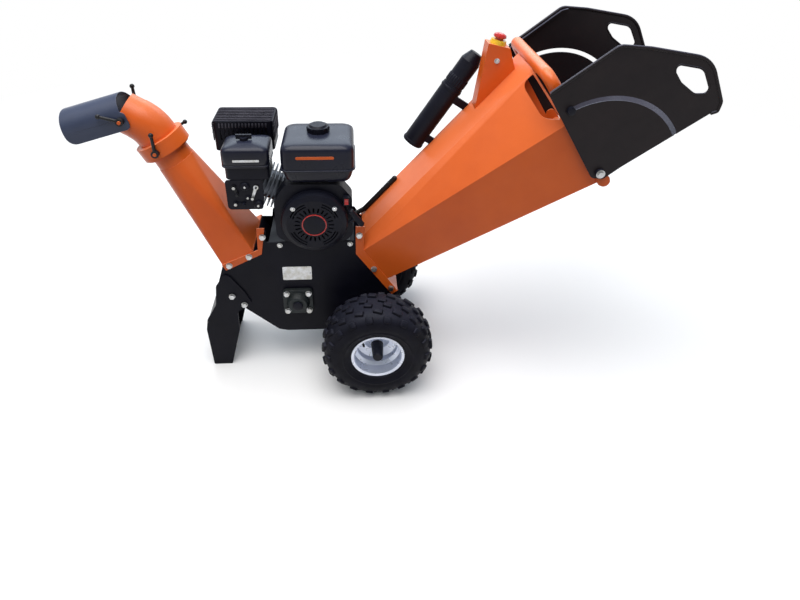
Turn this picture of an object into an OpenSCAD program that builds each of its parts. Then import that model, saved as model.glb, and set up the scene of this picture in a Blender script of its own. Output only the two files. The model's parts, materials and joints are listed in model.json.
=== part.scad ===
// Petrol garden shredder: a two-wheeled wood chipper with a feed hopper, a folding
// feed tray, a turning discharge chute and a horizontal-shaft engine.
// Lengths in millimetres. +X points to the feed end, +Z up, the ground is z = 0.
// The positions below count from the wheel axle in X and from the ground in Z.

/* [Wheels] */
// Outside diameter of a tyre
tyre_od = 356; // [320:1:400]
// Width of a tyre
tyre_w = 145; // [120:1:160]
// Diameter of the rim under the tyre bead
rim_d = 158; // [146:1:170]
// Distance between the middles of the two tyres
track = 438; // [425:1:480]
// Diameter of the axle
axle_d = 25; // [20:1:30]

/* [Housing] */
// Width over the outer faces of the side plates
house_w = 210; // [200:1:216]
// Thickness of a side plate
plate_t = 5; // [4:0.5:6]
// Height of the plates' lower edge over the ground
plate_low = 142; // [136:1:148]
// Rotor axis, behind the axle
rotor_x = -254; // [-257:0.5:-251]
// Rotor axis, over the ground
rotor_z = 275; // [272:0.5:278]
// Diameter of the rotor drum
drum_d = 190; // [170:1:196]
// Diameter of the rotor shaft
shaft_d = 25; // [20:1:28]
// How far the knives stand out of the drum
knife_out = 18; // [12:1:20]

/* [Leg] */
// Thickness of the leg plate
leg_t = 5; // [4:0.5:6]
// Left end of the foot
foot_x = -560; // [-566:1:-550]
// Length of the foot
foot_l = 62; // [50:1:66]

/* [Engine] */
// Crankshaft axis, behind the axle
crank_x = -186; // [-189:0.5:-183]
// Height of the crankshaft over the engine deck
crank_h = 113; // [111:0.5:116]
// Height of the deck's upper face
deck_z = 475; // [472:0.5:478]
// Diameter of the crankshaft
crank_d = 25; // [20:1:27]
// Diameter of the starter cover
recoil_d = 200; // [190:1:206]
// Length of the fuel tank
tank_l = 208; // [190:1:214]
// Width of the fuel tank
tank_w = 190; // [170:1:200]
// Height of the fuel tank
tank_h = 118; // [106:1:126]

/* [Drive] */
// Outside diameter of the engine pulley
small_pulley_d = 92; // [84:1:100]
// Outside diameter of the rotor pulley
big_pulley_d = 126; // [116:1:130]
// Width of a belt
belt_w = 12; // [10:0.5:13]
// Thickness of a belt
belt_t = 9; // [7:0.5:10]

/* [Chute] */
// Lean of the chute from upright, towards the discharge end
chute_lean = 27; // [26:0.5:28]
// Length of the chute from its base plate
chute_len = 412; // [390:1:430]
// Outside diameter of the chute at its top
chute_d = 105; // [98:1:108]
// Outside diameter of the chute at its base
chute_base_d = 130; // [116:1:136]
// Outside diameter of the elbow
elbow_d = 116; // [113:1:118]
// Bend of the elbow
elbow_bend = 31.5; // [26:0.5:36]
// Outside diameter of the collar
collar_d = 146; // [136:1:152]
// Length of the deflector hood in front of its pivot
hood_l = 172; // [150:1:185]
// Slope of the hood below level
hood_slope = 16.5; // [12:0.5:22]

/* [Hopper] */
// Inside-to-inside reach of the mouth: its lower edge, in front of the axle
mouth_x = 615; // [600:1:630]
// Height of the mouth's lower edge
mouth_z = 753; // [740:1:766]
// Lean of the mouth plane from upright
mouth_tilt = 33.5; // [31:0.5:36]
// Width of the mouth
mouth_w = 410; // [390:1:416]
// Height of the mouth along its plane
mouth_h = 345; // [330:1:356]
// Height of the mouth's upright sides along its plane
mouth_side = 212; // [196:1:224]
// Width of the hopper's top face
top_w = 150; // [130:1:164]
// Sheet thickness of the hopper and tray
sheet_t = 2.5; // [2:0.25:3.5]
// Diameter of the hoop and hinge tubes
bar_d = 36; // [32:1:38]

/* [Feed tray] */
// Width over the outer faces of the tray panels
tray_w = 444; // [440:1:456]
// Radius of the tray's guide slot around its hinge
slot_r = 216; // [212:1:222]

/* [Hidden] */
$fn = 64;
// Gap between pieces that move past each other
fit = 0.3;
// Gap between a round piece and the edge it is fixed to
seat = 0.1;
// Radial play of a shaft in its bore
run = 0.05;
// Radius of the frame bolts and of the holes for them
bolt_r = 5;
bolt_hole = 5.2;
axle_z = tyre_od / 2;
half_w = house_w / 2;
in_w = half_w - plate_t;
cheek_t = 4;
cheek_w = 24;
shaft_r = shaft_d / 2;
crank_r = crank_d / 2;
drum_r = drum_d / 2;
knife_r = drum_r + knife_out;
shroud_r = knife_r + 7;
shroud_t = 3;
crank_z = deck_z + crank_h;
rotor = [rotor_x, rotor_z];
crank = [crank_x, crank_z];

// Helpers for outlines in the X-Z plane

function unit(v) = v / norm(v);

function ray(a) = [cos(a), sin(a)];

function flip(p) = [for (i = [len(p) - 1 : -1 : 0]) p[i]];

function flat(p) = [p[0], p[1]];

// Points of an arc around c from angle a to angle b
function arc(c, r, a, b, n = 24) = [for (k = [0 : n]) c + r * ray(a + (b - a) * k / n)];

// One corner of an outline whose points are [x, z, radius]
function corner(p, i, n) = let(
    c = len(p),
    q = flat(p[i]),
    u = unit(flat(p[(i + c - 1) % c]) - q),
    v = unit(flat(p[(i + 1) % c]) - q),
    r = p[i][2],
    half = acos(u * v) / 2,
    m = r == 0 ? q : q + unit(u + v) * r / sin(half),
    s = q + u * r / tan(half) - m,
    e = q + v * r / tan(half) - m,
    a = atan2(s[1], s[0]),
    turn = (atan2(e[1], e[0]) - a + 540) % 360 - 180)
    r == 0 ? [q] : [for (k = [0 : n]) m + r * ray(a + turn * k / n)];

// Outline with rounded corners
function rounded(p, n = 6) = [for (i = [0 : len(p) - 1]) each corner(p, i, n)];

// Closed outline moved in by d; the points run anticlockwise
function inset(p, d) = [for (i = [0 : len(p) - 1]) let(
    c = len(p),
    u = unit(p[i] - p[(i + c - 1) % c]),
    v = unit(p[(i + 1) % c] - p[i]),
    m = [-u[1], u[0]],
    k = [-v[1], v[0]])
    p[i] + d * (m + k) / (1 + m * k)];

// Open path moved to its left by d
function beside(p, d) = [for (i = [0 : len(p) - 1]) let(
    c = len(p) - 1,
    u = unit(i == 0 ? p[1] - p[0] : p[i] - p[i - 1]),
    v = unit(i == c ? p[c] - p[c - 1] : p[i + 1] - p[i]),
    m = [-u[1], u[0]],
    k = [-v[1], v[0]])
    p[i] + d * (m + k) / (1 + m * k)];

// Outline of a bent sheet along a path
function sheet(p, t) = concat(p, flip(beside(p, t)));

// Outline of a loop around two circles
function loop(c, r, d, s, n = 32) = let(
    g = d - c,
    w = atan2(g[1], g[0]),
    a = acos((r - s) / norm(g)))
    concat(arc(c, r, w + a, w + 360 - a, n), arc(d, s, w - a, w + a, n));

// Solid between y = a and y = b over an outline in X-Z
module slab(p, a, b)
    translate([0, b, 0])
        rotate([90, 0, 0])
            linear_extrude(b - a)
                polygon(p);

// Round bar along Y
module rod(c, r, a, b)
    translate([c[0], b, c[1]])
        rotate([90, 0, 0])
            cylinder(h = b - a, r = r);

// Solid of revolution around the Y axis through c; its profile is [radius, y]
module spun(c, p)
    translate([c[0], 0, c[1]])
        rotate([-90, 0, 0])
            rotate_extrude($fn = 96)
                polygon(p);

// The near side is drawn; the far side is its mirror image
module far_side()
    mirror([0, 1, 0])
        children();

module both_sides() {
    children();
    far_side() children();
}

// Box between two corners
module block(a, b)
    translate(a)
        cube(b - a);

// Rounded box between two corners
module soft_block(a, b, r)
    hull()
        for (x = [a[0] + r, b[0] - r], y = [a[1] + r, b[1] - r], z = [a[2] + r, b[2] - r])
            translate([x, y, z])
                sphere(r = r, $fn = 24);

// Flange lines of the chute and the hopper on the housing
chute_low = [-472, 402];
chute_knee = [-356, 462];
feed_low = [52, 291];
feed_knee = [-64, 456];
ear_top = 557;
ear_w = 28;
plate_top = 503;
chute_base = 112;
along_chute = unit(chute_knee - chute_low);
out_chute = [-along_chute[1], along_chute[0]];
along_feed = unit(feed_knee - feed_low);
out_feed = [along_feed[1], -along_feed[0]];
plate_in = cheek_w - cheek_t;

// Side plates

plate_low_edge = [
    [64, 210, 20],
    [34, plate_low, 20],
    [-296, plate_low, 20],
    [-326, plate_low + 7, 12],
    [-432, 247, 10],
    [-466, 262, 14],
    [-508, 335, 14]];
plate_feed_edge = [
    concat(feed_knee + out_feed * plate_in + [0, 2], 0),
    concat(feed_low + out_feed * plate_in, 6)];
plate_chute_edge = [
    concat(chute_low + out_chute * plate_in, 0),
    concat(chute_low + out_chute * plate_in + along_chute * chute_base, 0)];
plate_near_outline = rounded(concat(plate_chute_edge, [
    concat(chute_knee + out_chute * 16 + [0, 1], 0),
    [-357, ear_top - 12, 0],
    [-338, ear_top - 12, 0],
    [-342, plate_top, 6],
    [-66, plate_top, 6],
    [-62, ear_top - 12, 0],
    [-44, ear_top - 12, 0]], plate_feed_edge, plate_low_edge));
plate_far_outline = rounded(concat(plate_chute_edge, [
    [-346, 470, 4],
    [-342, plate_top, 6],
    [-66, plate_top, 6]], plate_feed_edge, plate_low_edge));

bearing_pitch = 70;
bearing_spots = [for (x = [-0.5, 0.5], z = [-0.5, 0.5]) rotor + bearing_pitch * [x, z]];
leg_spots = [[-465, 300], [-429, 264]];
ear_spots = [[-348, 527], [-53, 527]];
chute_spots = [for (u = [20, 92]) chute_low + along_chute * u + out_chute * cheek_w / 2];
feed_spots = [for (u = [22, 120]) feed_low + along_feed * u + out_feed * cheek_w / 2];
plate_spots = concat(leg_spots, chute_spots, feed_spots, bearing_spots);

module side_plate(outline, spots)
    color("#17161b")
    difference() {
        slab(outline, -half_w, -in_w);
        rod(rotor, shaft_r + 14, -half_w - 1, -in_w + 1);
        rod([0, axle_z], axle_d / 2 + run, -half_w - 1, -in_w + 1);
        for (s = spots)
            rod(s, bolt_hole, -half_w - 1, -in_w + 1);
    }

module side_plate_near() side_plate(plate_near_outline, concat(plate_spots, ear_spots));

module side_plate_far() far_side() side_plate(plate_far_outline, plate_spots);

// Bent sheets around the rotor, between the plates

feed_start = rotor + shroud_r * ray(-25);
feed_lip = feed_low + out_feed * plate_in + along_feed * 4;

module rotor_shroud()
    color("#201f24") {
        slab(sheet(concat([feed_lip], arc(rotor, shroud_r, -25, -170),
            [chute_low + out_chute * plate_in + along_chute * 5]), shroud_t), -in_w, in_w);
        slab(sheet(concat([chute_low + out_chute * plate_in + along_chute * (chute_base - 1)],
            arc(rotor, shroud_r, 125, 50),
            [feed_knee + out_feed * plate_in - along_feed * 6]), shroud_t), -in_w, in_w);
    }

module bed_knife() {
    u = unit(feed_lip - feed_start);
    n = [-u[1], u[0]];
    s = feed_start + 9 * u;
    color("#8f9298")
        slab([s, s + 40 * u, s + 40 * u + 10 * n, s + 10 * n], -in_w, in_w);
}

module engine_deck()
    color("#1b1a1f")
        block([-340, -in_w, deck_z - 8], [-68, in_w, deck_z]);

// Axle, with shoulders between the plates and the wheels

hub_in = track / 2 - 50;
hub_out = track / 2 + 4;
cap_out = track / 2 + 62;

module axle()
    color("#6d6f76") {
        rod([0, axle_z], axle_d / 2, -cap_out + 20, cap_out - 20);
        both_sides()
            rod([0, axle_z], axle_d / 2 + 9, -hub_in + fit, -half_w);
    }

module axle_caps()
    color("#141416")
    both_sides()
        difference() {
            spun([0, axle_z], [[0, -cap_out], [14, -cap_out], [16, -cap_out + 3], [20, -hub_out - fit],
                [0, -hub_out - fit]]);
            rod([0, axle_z], axle_d / 2, -cap_out + 20, -hub_out + 5);
        }

// Folded leg: two outer cheeks, a front web and a foot

leg_outline = rounded([
    [-480, 388, 8],
    [-512, 340, 10],
    [-521, 265, 20],
    [-557, 202, 20],
    [-565, 159, 20],
    [foot_x, 0, 4],
    [foot_x + foot_l, 0, 4],
    [-457, 154, 20],
    [-455, 234, 20],
    [-432, 247, 6],
    [-404, 268, 10],
    [-424, 316, 10],
    [-462, 376, 8]]);

module front_leg() {
    web = [[-519, 262], [-554, 201], [-562, 158], [foot_x + 2, 2]];
    color("#19181d") {
        both_sides()
            difference() {
                slab(leg_outline, -half_w - leg_t, -half_w);
                for (s = leg_spots)
                    rod(s, bolt_hole, -half_w - leg_t - 1, -half_w + 1);
            }
        slab(sheet(web, leg_t), -half_w, half_w);
        block([foot_x + 3, -half_w, 0], [foot_x + foot_l - 3, half_w, leg_t]);
    }
}

// Hex bolts through the plates; the head stands on y = -face, the shank ends at the inner face
module hex_bolt(c, face) {
    rod(c, bolt_r + 5, -face - 2, -face);
    translate([c[0], -face - 2, c[1]])
        rotate([90, 0, 0])
            cylinder(h = 6, r = 9, $fn = 6);
    rod(c, bolt_r, -face - 1, -in_w);
}

bearing_flange = 12;

module frame_bolts()
    color("#9a9ca3")
    union() {
        for (s = ear_spots)
            hex_bolt(s, half_w + cheek_t);
        both_sides() bolt_set();
    }

module bolt_set() {
        for (s = leg_spots)
            hex_bolt(s, half_w + leg_t);
        for (s = concat(chute_spots, feed_spots))
            hex_bolt(s, half_w + cheek_t);
        for (s = bearing_spots)
            hex_bolt(s, half_w + bearing_flange);
        guide_bolt();
    }

// Flange bearings, one on each plate

bearing_out = half_w + 32;

module bearing_units() {
    s = bearing_pitch / 2 + 13;
    color("#3a3c40")
    both_sides()
        difference() {
            union() {
                slab(rounded([for (k = [[-1, -1], [1, -1], [1, 1], [-1, 1]])
                    concat(rotor + s * k, 13)]), -half_w - bearing_flange, -half_w);
                spun(rotor, [[0, -half_w], [37, -half_w], [37, -half_w - 16], [30, -bearing_out],
                    [0, -bearing_out]]);
            }
            rod(rotor, shaft_r + run, -bearing_out - 1, -half_w + 1);
            for (b = bearing_spots)
                rod(b, bolt_hole, -half_w - bearing_flange - 1, -half_w + 1);
        }
}

// Rotor: shaft, drum, knives and pulley

drum_half = in_w - 8;
pulley_y = half_w + 44;
groove_gap = 16;
pulley_w = 2 * groove_gap + 4;

module rotor_shaft()
    color("#85878d")
        rod(rotor, shaft_r, -bearing_out - 3, pulley_y + pulley_w + 4);

knife_w = 44;
knife_t = 8;
knife_seat = drum_r - 26;

// A knife lies in a notch of the drum, its edge out
module knife_place()
    for (a = [35, 215])
        translate([rotor_x, 0, rotor_z])
            rotate([0, -a, 0])
                children();

module rotor_drum()
    color("#55575c")
    difference() {
        union() {
            spun(rotor, [[drum_r - 16, -drum_half], [drum_r, -drum_half], [drum_r, drum_half],
                [drum_r - 16, drum_half]]);
            for (y = [-drum_half, drum_half - 12])
                spun(rotor, [[shaft_r, y], [drum_r - 15, y], [drum_r - 15, y + 12], [shaft_r, y + 12]]);
            knife_place()
                block([knife_seat - 14, -drum_half, -14], [drum_r - 4, drum_half, 0]);
        }
        knife_place()
            block([knife_seat, -drum_half - 1, 0], [drum_r + 20, drum_half + 1, knife_t + 24]);
    }

module rotor_knives()
    color("#b9bcc2")
    knife_place()
        translate([0, drum_half, 0])
            rotate([90, 0, 0])
                linear_extrude(2 * drum_half)
                    polygon([[knife_seat, 0], [knife_r, 0], [knife_r - 9, knife_t], [knife_seat, knife_t]]);

groove_d = belt_t + 1;

// Pulley with two belt grooves; r is its outside radius, b its bore
module pulley(c, r, b) {
    a = pulley_y;
    g = r - groove_d;
    w = belt_w / 2 + fit;
    m = [a + pulley_w / 2 - groove_gap / 2, a + pulley_w / 2 + groove_gap / 2];
    spun(c, [[b, a], [r, a], [r, m[0] - w], [g, m[0] - w], [g, m[0] + w], [r, m[0] + w],
        [r, m[1] - w], [g, m[1] - w], [g, m[1] + w], [r, m[1] + w], [r, a + pulley_w], [b, a + pulley_w]]);
}

module rotor_pulley()
    color("#4a4b50")
        pulley(rotor, big_pulley_d / 2, shaft_r);

module engine_pulley()
    color("#4a4b50")
        pulley(crank, small_pulley_d / 2, crank_r);

module drive_belts() {
    big = big_pulley_d / 2 - groove_d + 0.5;
    small = small_pulley_d / 2 - groove_d + 0.5;
    color("#1d1d1f")
    for (k = [-0.5, 0.5]) {
        y = pulley_y + pulley_w / 2 + k * groove_gap;
        difference() {
            slab(loop(crank, small + belt_t, rotor, big + belt_t), y - belt_w / 2, y + belt_w / 2);
            slab(loop(crank, small, rotor, big), y - belt_w, y + belt_w);
        }
    }
}

guard_out = pulley_y + pulley_w + 12;

module belt_guard() {
    a = small_pulley_d / 2 + 26;
    b = big_pulley_d / 2 + 17;
    color("#1c1b20")
    difference() {
        slab(loop(crank, a, rotor, b), half_w, guard_out);
        slab(loop(crank, a - 2, rotor, b - 2), half_w - 1, guard_out - 2);
    }
}

// Wheels

bead_r = rim_d / 2 + fit;
rim_half = 57;

module tyre() {
    r = tyre_od / 2;
    w = tyre_w / 2;
    wall = 9;
    h = r - bead_r;
    color("#1a1a1c")
    translate([0, -track / 2, 0])
        spun([0, axle_z], concat(rounded([
            [bead_r, -rim_half + 6, 0],
            [bead_r + 0.16 * h, -rim_half + 1, 4],
            [bead_r + 0.42 * h, -w, 16],
            [bead_r + 0.8 * h, -w + 3, 14],
            [r, -w + 20, 14],
            [r, w - 20, 14],
            [bead_r + 0.8 * h, w - 3, 14],
            [bead_r + 0.42 * h, w, 16],
            [bead_r + 0.16 * h, rim_half - 1, 4],
            [bead_r, rim_half - 6, 0],
            [bead_r, rim_half - 18, 0],
            [bead_r + 0.42 * h, w - wall, 10],
            [bead_r + 0.8 * h, w - wall - 4, 12],
            [r - wall - 4, w - 26, 12],
            [r - wall - 4, -w + 26, 12],
            [bead_r + 0.8 * h, -w + wall + 4, 12],
            [bead_r + 0.42 * h, -w + wall, 10],
            [bead_r, -rim_half + 18, 0]])));
}

module rim() {
    r = rim_d / 2;
    b = axle_d / 2 + run;
    color("#a9abb3")
    translate([0, -track / 2, 0])
        union() {
            spun([0, axle_z], [[r + 10, -rim_half - 3], [r + 12, -rim_half - 1], [r + 12, -rim_half + 1],
                [r, -rim_half + 4], [r, -20], [r - 10, -12], [r - 10, 12], [r, 20], [r, rim_half - 4],
                [r + 12, rim_half - 1], [r + 12, rim_half + 1], [r + 10, rim_half + 3], [r - 4, rim_half],
                [r - 4, 22], [r - 14, 13], [r - 14, -13], [r - 4, -22], [r - 4, -rim_half]]);
            spun([0, axle_z], [[b + 6, 20], [b + 30, 24], [r - 13, 11], [r - 13, 6], [b + 30, 19],
                [b + 6, 15]]);
            spun([0, axle_z], [[b, -4], [b + 8, -4], [b + 8, 50], [b, 50]]);
        }
}

module tyre_near() tyre();

module tyre_far() far_side() tyre();

module rim_near() rim();

module rim_far() far_side() rim();

// Chute: base plate across the flange, cheeks with ears, and a tapered tube

chute_foot = chute_low + out_chute * cheek_w + along_chute * 42;
chute_wall = 2.5;
collar_low = chute_len - 36;

module chute_frame()
    translate([chute_foot[0], 0, chute_foot[1]])
        rotate([0, -chute_lean, 0])
            children();

// Cheek strip on the outside of a plate, with bolt holes
module cheek(p)
    difference() {
        slab(p, -half_w - cheek_t, -half_w);
        for (s = concat(chute_spots, feed_spots, ear_spots))
            rod(s, bolt_hole, -half_w - cheek_t - 1, -half_w + 1);
    }

function taper(z) = chute_base_d / 2 + (chute_d - chute_base_d) / 2 * z / chute_len;

foot_h = chute_len - 80;
shoe_far = 70;
tube_start = foot_h - 1;
bore_start = foot_h + 1.5;

module chute_flange_frame()
    translate([chute_low[0], 0, chute_low[1]])
        rotate([0, -atan2(along_chute[1], along_chute[0]), 0])
            children();

// Square-to-round foot of the chute, moved in by d; r is the radius of its round end
module chute_shoe(d, r)
    hull() {
        chute_flange_frame()
            block([d, -half_w + d, cheek_w - 1],
                [chute_base - d, shoe_far - d, cheek_w + 0.5]);
        chute_frame()
            translate([0, 0, foot_h])
                cylinder(h = 1 + d / 2, r = r, $fn = 48);
    }

module chute() {
    wall = chute_wall + 0.5;
    end = chute_low + along_chute * chute_base;
    low = [chute_low, end, end + out_chute * cheek_w, chute_low + out_chute * cheek_w];
    color("#d9662b")
    difference() {
        union() {
            far_side() cheek(low);
            cheek([low[0], chute_knee, [-340, ear_top], [-364, ear_top], low[1] + [6, 24], low[3]]);
            chute_flange_frame()
                block([0, -half_w, plate_in], [chute_base, half_w, cheek_w]);
            chute_shoe(0.5, taper(foot_h) + 1.5);
            chute_frame() {
                translate([0, 0, tube_start])
                    cylinder(h = chute_len - tube_start, r1 = taper(tube_start), r2 = taper(chute_len));
                translate([0, 0, collar_low - 5 - fit])
                    cylinder(h = 5, r = collar_d / 2 - 6);
                translate([0, 0, chute_len - 14])
                    cylinder(h = 14, r = elbow_d / 2 - 3 - fit);
            }
        }
        chute_flange_frame()
            block([wall + 2, -half_w + wall + plate_t, plate_in - 1],
                [chute_base - wall - 2, shoe_far - wall - plate_t, cheek_w + 0.5]);
        chute_shoe(wall, taper(foot_h) - wall - 1);
        chute_frame()
            translate([0, 0, bore_start])
                cylinder(h = chute_len - bore_start + 1, r1 = taper(bore_start) - wall,
                    r2 = taper(chute_len) - wall);
    }
}

// Elbow: collar, then a bent tube

elbow_r = elbow_d / 2;
elbow_wall = 3;
collar_h = 42;
elbow_run = [12, 44];
bend_r = 110;
bend_lap = 1;

// Straight tube, bend and straight tube from the origin along Z, running on at both ends;
// the bend is wider by d and laps over the straight tubes
module elbow_solid(r, d, before, after) {
    lap = 2;
    translate([0, 0, -before])
        cylinder(h = elbow_run[0] + before, r = r);
    translate([-bend_r, 0, elbow_run[0]]) {
        rotate([90, 0, 0])
            rotate([0, 0, -lap])
                rotate_extrude(angle = elbow_bend + 2 * lap, $fn = 96)
                    translate([bend_r, 0])
                        circle(r = r + d);
        rotate([0, -elbow_bend, 0])
            translate([bend_r, 0, 0])
                cylinder(h = elbow_run[1] + after, r = r);
    }
}

// From the collar's middle to the hood's pivot, on both sides of the elbow's mouth
hood_reach = [-81.04, 93.66];
hood_in = elbow_r + 3;
hood_t = 2.5;
pin_r = 5;
lever_in = hood_in + hood_t + 2;
lever_w = 12;
collar_mid = collar_low + collar_h / 2;
collar_spot = chute_foot + collar_mid * ray(90 + chute_lean);
hood_pivot = collar_spot + hood_reach;

module elbow()
    color("#d4622a") {
        difference() {
            union() {
                chute_frame() {
                    translate([0, 0, collar_low])
                        cylinder(h = collar_h, r = collar_d / 2);
                    translate([0, 0, collar_low + collar_h])
                        elbow_solid(elbow_r, bend_lap, 4, 0);
                }
                both_sides()
                    rod(hood_pivot, pin_r + 4, -hood_in + 1.7, -elbow_r + 12);
            }
            chute_frame() {
                translate([0, 0, collar_low + collar_h])
                    elbow_solid(elbow_r - elbow_wall, -bend_lap, collar_h + 1, 10);
            }
        }
        both_sides() {
            rod(hood_pivot, pin_r, -lever_in - lever_w - 3, -elbow_r + 6);
            rod(collar_spot, pin_r, -collar_d / 2 - lever_w - 4, -collar_d / 2 + 8);
        }
    }

// Deflector hood: an arch over the elbow's mouth with straight sides and rounded ends

hood_down = 3;

module deflector_hood() {
    r = hood_in;
    o = hood_in + hood_t;
    top = o - hood_down + 4;
    side = rounded([[-18, -30, 16], [hood_l - 4, -30, 26], [hood_l - 2, top, 0], [0, top, 0],
        [-6, 22, 0], [-18, 16, 10]]);
    color("#2f3440")
    translate([hood_pivot[0], 0, hood_pivot[1]])
        mirror([1, 0, 0])
            rotate([0, hood_slope, 0])
                difference() {
                    intersection() {
                        slab(side, -o - 1, o + 1);
                        union() {
                            translate([-40, 0, -hood_down])
                                rotate([0, 90, 0])
                                    cylinder(h = hood_l + 80, r = o);
                            block([-40, -o, -60], [hood_l + 40, o, -hood_down]);
                        }
                    }
                    translate([-50, 0, -hood_down])
                        rotate([0, 90, 0])
                            cylinder(h = hood_l + 100, r = r);
                    block([-50, -r, -80], [hood_l + 50, r, -hood_down]);
                    rod([0, 0], pin_r + run, -o - 2, o + 2);
                }
}

// Clamp lever on a pin at c; the arm points along angle a
module lever(c, a, l, y) {
    color("#1f1f23")
    difference() {
        union() {
            rod(c, 11, -y - lever_w, -y);
            translate([c[0], -y - lever_w / 2, c[1]])
                rotate([0, 90 - a, 0]) {
                    cylinder(h = l - 6, r1 = 5.5, r2 = 4.2);
                    translate([0, 0, l - 7])
                        sphere(r = 7);
                }
        }
        rod(c, pin_r + run, -y - lever_w - 1, -y + 1);
    }
}

module collar_lever_near() lever(collar_spot, 92, 64, collar_d / 2 + 2);

module collar_lever_far() far_side() lever(collar_spot, 32, 64, collar_d / 2 + 2);

module hood_lever_near() lever(hood_pivot, 164, 64, lever_in);

module hood_lever_far() far_side() lever(hood_pivot, 91, 60, lever_in);

// Hopper: a six-sided shell from the throat to the mouth

mouth_low = [mouth_x, mouth_z];
up_mouth = ray(90 + mouth_tilt);
out_mouth = ray(mouth_tilt);
mouth_knee = mouth_low + mouth_side * up_mouth;
mouth_top = mouth_low + mouth_h * up_mouth;
throat_u = 60;
throat_out = cheek_w - 2.5;
lip_in = plate_in + 0.5;
throat_low = feed_low + out_feed * throat_out + along_feed * throat_u;
throat_knee = feed_knee + out_feed * throat_out - along_feed * 4.5;
throat_top = throat_knee + [2, 36];
top_dir = unit(throat_top - mouth_top);
top_out = [top_dir[1], -top_dir[0]];

// A point at distance s along the path low, knee, top
function on_path(low, knee, top, s) = let(k = norm(knee - low))
    s < k ? low + s * unit(knee - low) : knee + (s - k) * unit(top - knee);

// The six corners of a section with half widths a and b, moved in by d
function section(low, knee, top, a, b, d) = let(
    k = norm(knee - low),
    m = norm(top - knee),
    p = inset([[-a, 0], [a, 0], [a, k], [b, k + m], [-b, k + m], [-a, k]], d))
    [for (q = p) let(c = on_path(low, knee, top, q[1])) [c[0], q[0], c[1]]];

// Closed solid between a throat section and a mouth section
module funnel(throat, mouth) {
    n = len(throat);
    polyhedron(concat(throat, mouth), concat(
        [[0, 1, 2], [0, 2, 5], [2, 3, 4], [2, 4, 5]],
        [for (i = [0 : n - 1]) [i, i + n, (i + 1) % n]],
        [for (i = [0 : n - 1]) [(i + 1) % n, i + n, (i + 1) % n + n]],
        [[for (i = [n - 1 : -1 : 0]) i + n]]));
}

// The hopper's inside or outside: d is the depth under its outer faces, e how far the ends run on
module hopper_solid(d, e) {
    t = section(throat_low, throat_knee, throat_top, half_w + cheek_t / 2, top_w / 2, d);
    m = section(mouth_low, mouth_knee, mouth_top, mouth_w / 2, top_w / 2, d);
    funnel(t - e * (m - t), m + e * (m - t));
}

module hopper() {
    win = rounded([for (k = [[0.1, -6], [0.92, -6], [0.84, -44], [0.22, -44]])
        concat(mouth_knee + k[0] * (mouth_top - mouth_knee) + k[1] * out_mouth, k[1] < -20 ? 22 : 3)]);
    color("#d9662b")
    union() {
        difference() {
            hopper_solid(0, 0);
            hopper_solid(sheet_t, 0.03);
            both_sides()
                slab(win, -mouth_w, -top_w / 2 - 4);
        }
        cheek([feed_low, feed_knee, [feed_knee[0], ear_top], [feed_knee[0] + ear_w, ear_top],
            feed_knee + out_feed * cheek_w + [4, 0], feed_low + out_feed * cheek_w]);
        far_side()
            cheek([feed_low, feed_knee, feed_knee + out_feed * cheek_w, feed_low + out_feed * cheek_w]);
        slab([for (k = [[0, lip_in], [0, cheek_w], [throat_u + 2, cheek_w], [throat_u + 2, lip_in]])
            feed_low + along_feed * k[0] + out_feed * k[1]], -half_w, half_w);
    }
}

// Hoop over the mouth: a straight tube with two bent legs

bar_r = bar_d / 2;
hoop_y = mouth_w / 2 - 12 - bar_r;
hoop_bend = 32;
hoop_leg = 92;
hoop = mouth_top + out_mouth * (bar_r + seat);

module mouth_hoop()
    color("#d9662b")
    translate([hoop[0], 0, hoop[1]])
        rotate([0, -mouth_tilt, 0]) {
            rod([0, 0], bar_r, -hoop_y + hoop_bend, hoop_y - hoop_bend);
            both_sides()
                translate([0, -hoop_y + hoop_bend, -hoop_bend]) {
                    rotate([0, -90, 0])
                        rotate([0, 0, 270])
                            rotate_extrude(angle = 90)
                                translate([hoop_bend, 0])
                                    circle(r = bar_r);
                    translate([0, -hoop_bend, -hoop_leg])
                        cylinder(h = hoop_leg, r = bar_r);
                }
        }

// Hinge tube under the mouth, with a lug and a pin at each end

hinge = mouth_low + out_mouth * 16.4 + up_mouth * 37.5;
hinge_bar = mouth_low + out_mouth * (bar_r + seat);
panel_t = 3;
panel_out = tray_w / 2;
panel_in = panel_out - panel_t;
lug_t = 6;
lug_in = panel_in - lug_t - 1;
slot_a = 122;
slot_end = 33;
slot_spot = hinge + slot_r * ray(slot_a);

module hinge_tube()
    color("#cf5f28") {
        rod(hinge_bar, bar_r, -lug_in, lug_in);
        both_sides() {
            slab(loop(hinge_bar, bar_r - 2, hinge, 16), -lug_in - lug_t, -lug_in);
            rod(hinge, 6, -panel_out - 3, -lug_in);
            rod(hinge, 12, -panel_out - 9, -panel_out - 1);
        }
    }

// Guide bolt from a leg of the hoop through the tray's slot
module guide_bolt() {
    rod(slot_spot, 5, -panel_out - 4, -hoop_y);
    rod(slot_spot, 10.5, -panel_out - 9, -panel_out - 1);
}

// Feed tray: two panels with a guide slot and a hand hole, and a floor

panel_outline = rounded([
    [-20, -16, 16],
    [14, -20, 14],
    [57, 17, 20],
    [262, 171, 10],
    [282, 178, 8],
    [284.7, 204, 20],
    [224, 318.7, 85],
    [60, 344.5, 40],
    [-19, 350, 30],
    [-178, 225, 8]]);
hand_hole = rounded([
    [133, 306, 12],
    [138, 282, 10],
    [160, 255, 30],
    [204, 225, 26],
    [251, 226, 14],
    [212, 293, 34]]);

function around_hinge(p) = [for (q = p) hinge + q];

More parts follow.
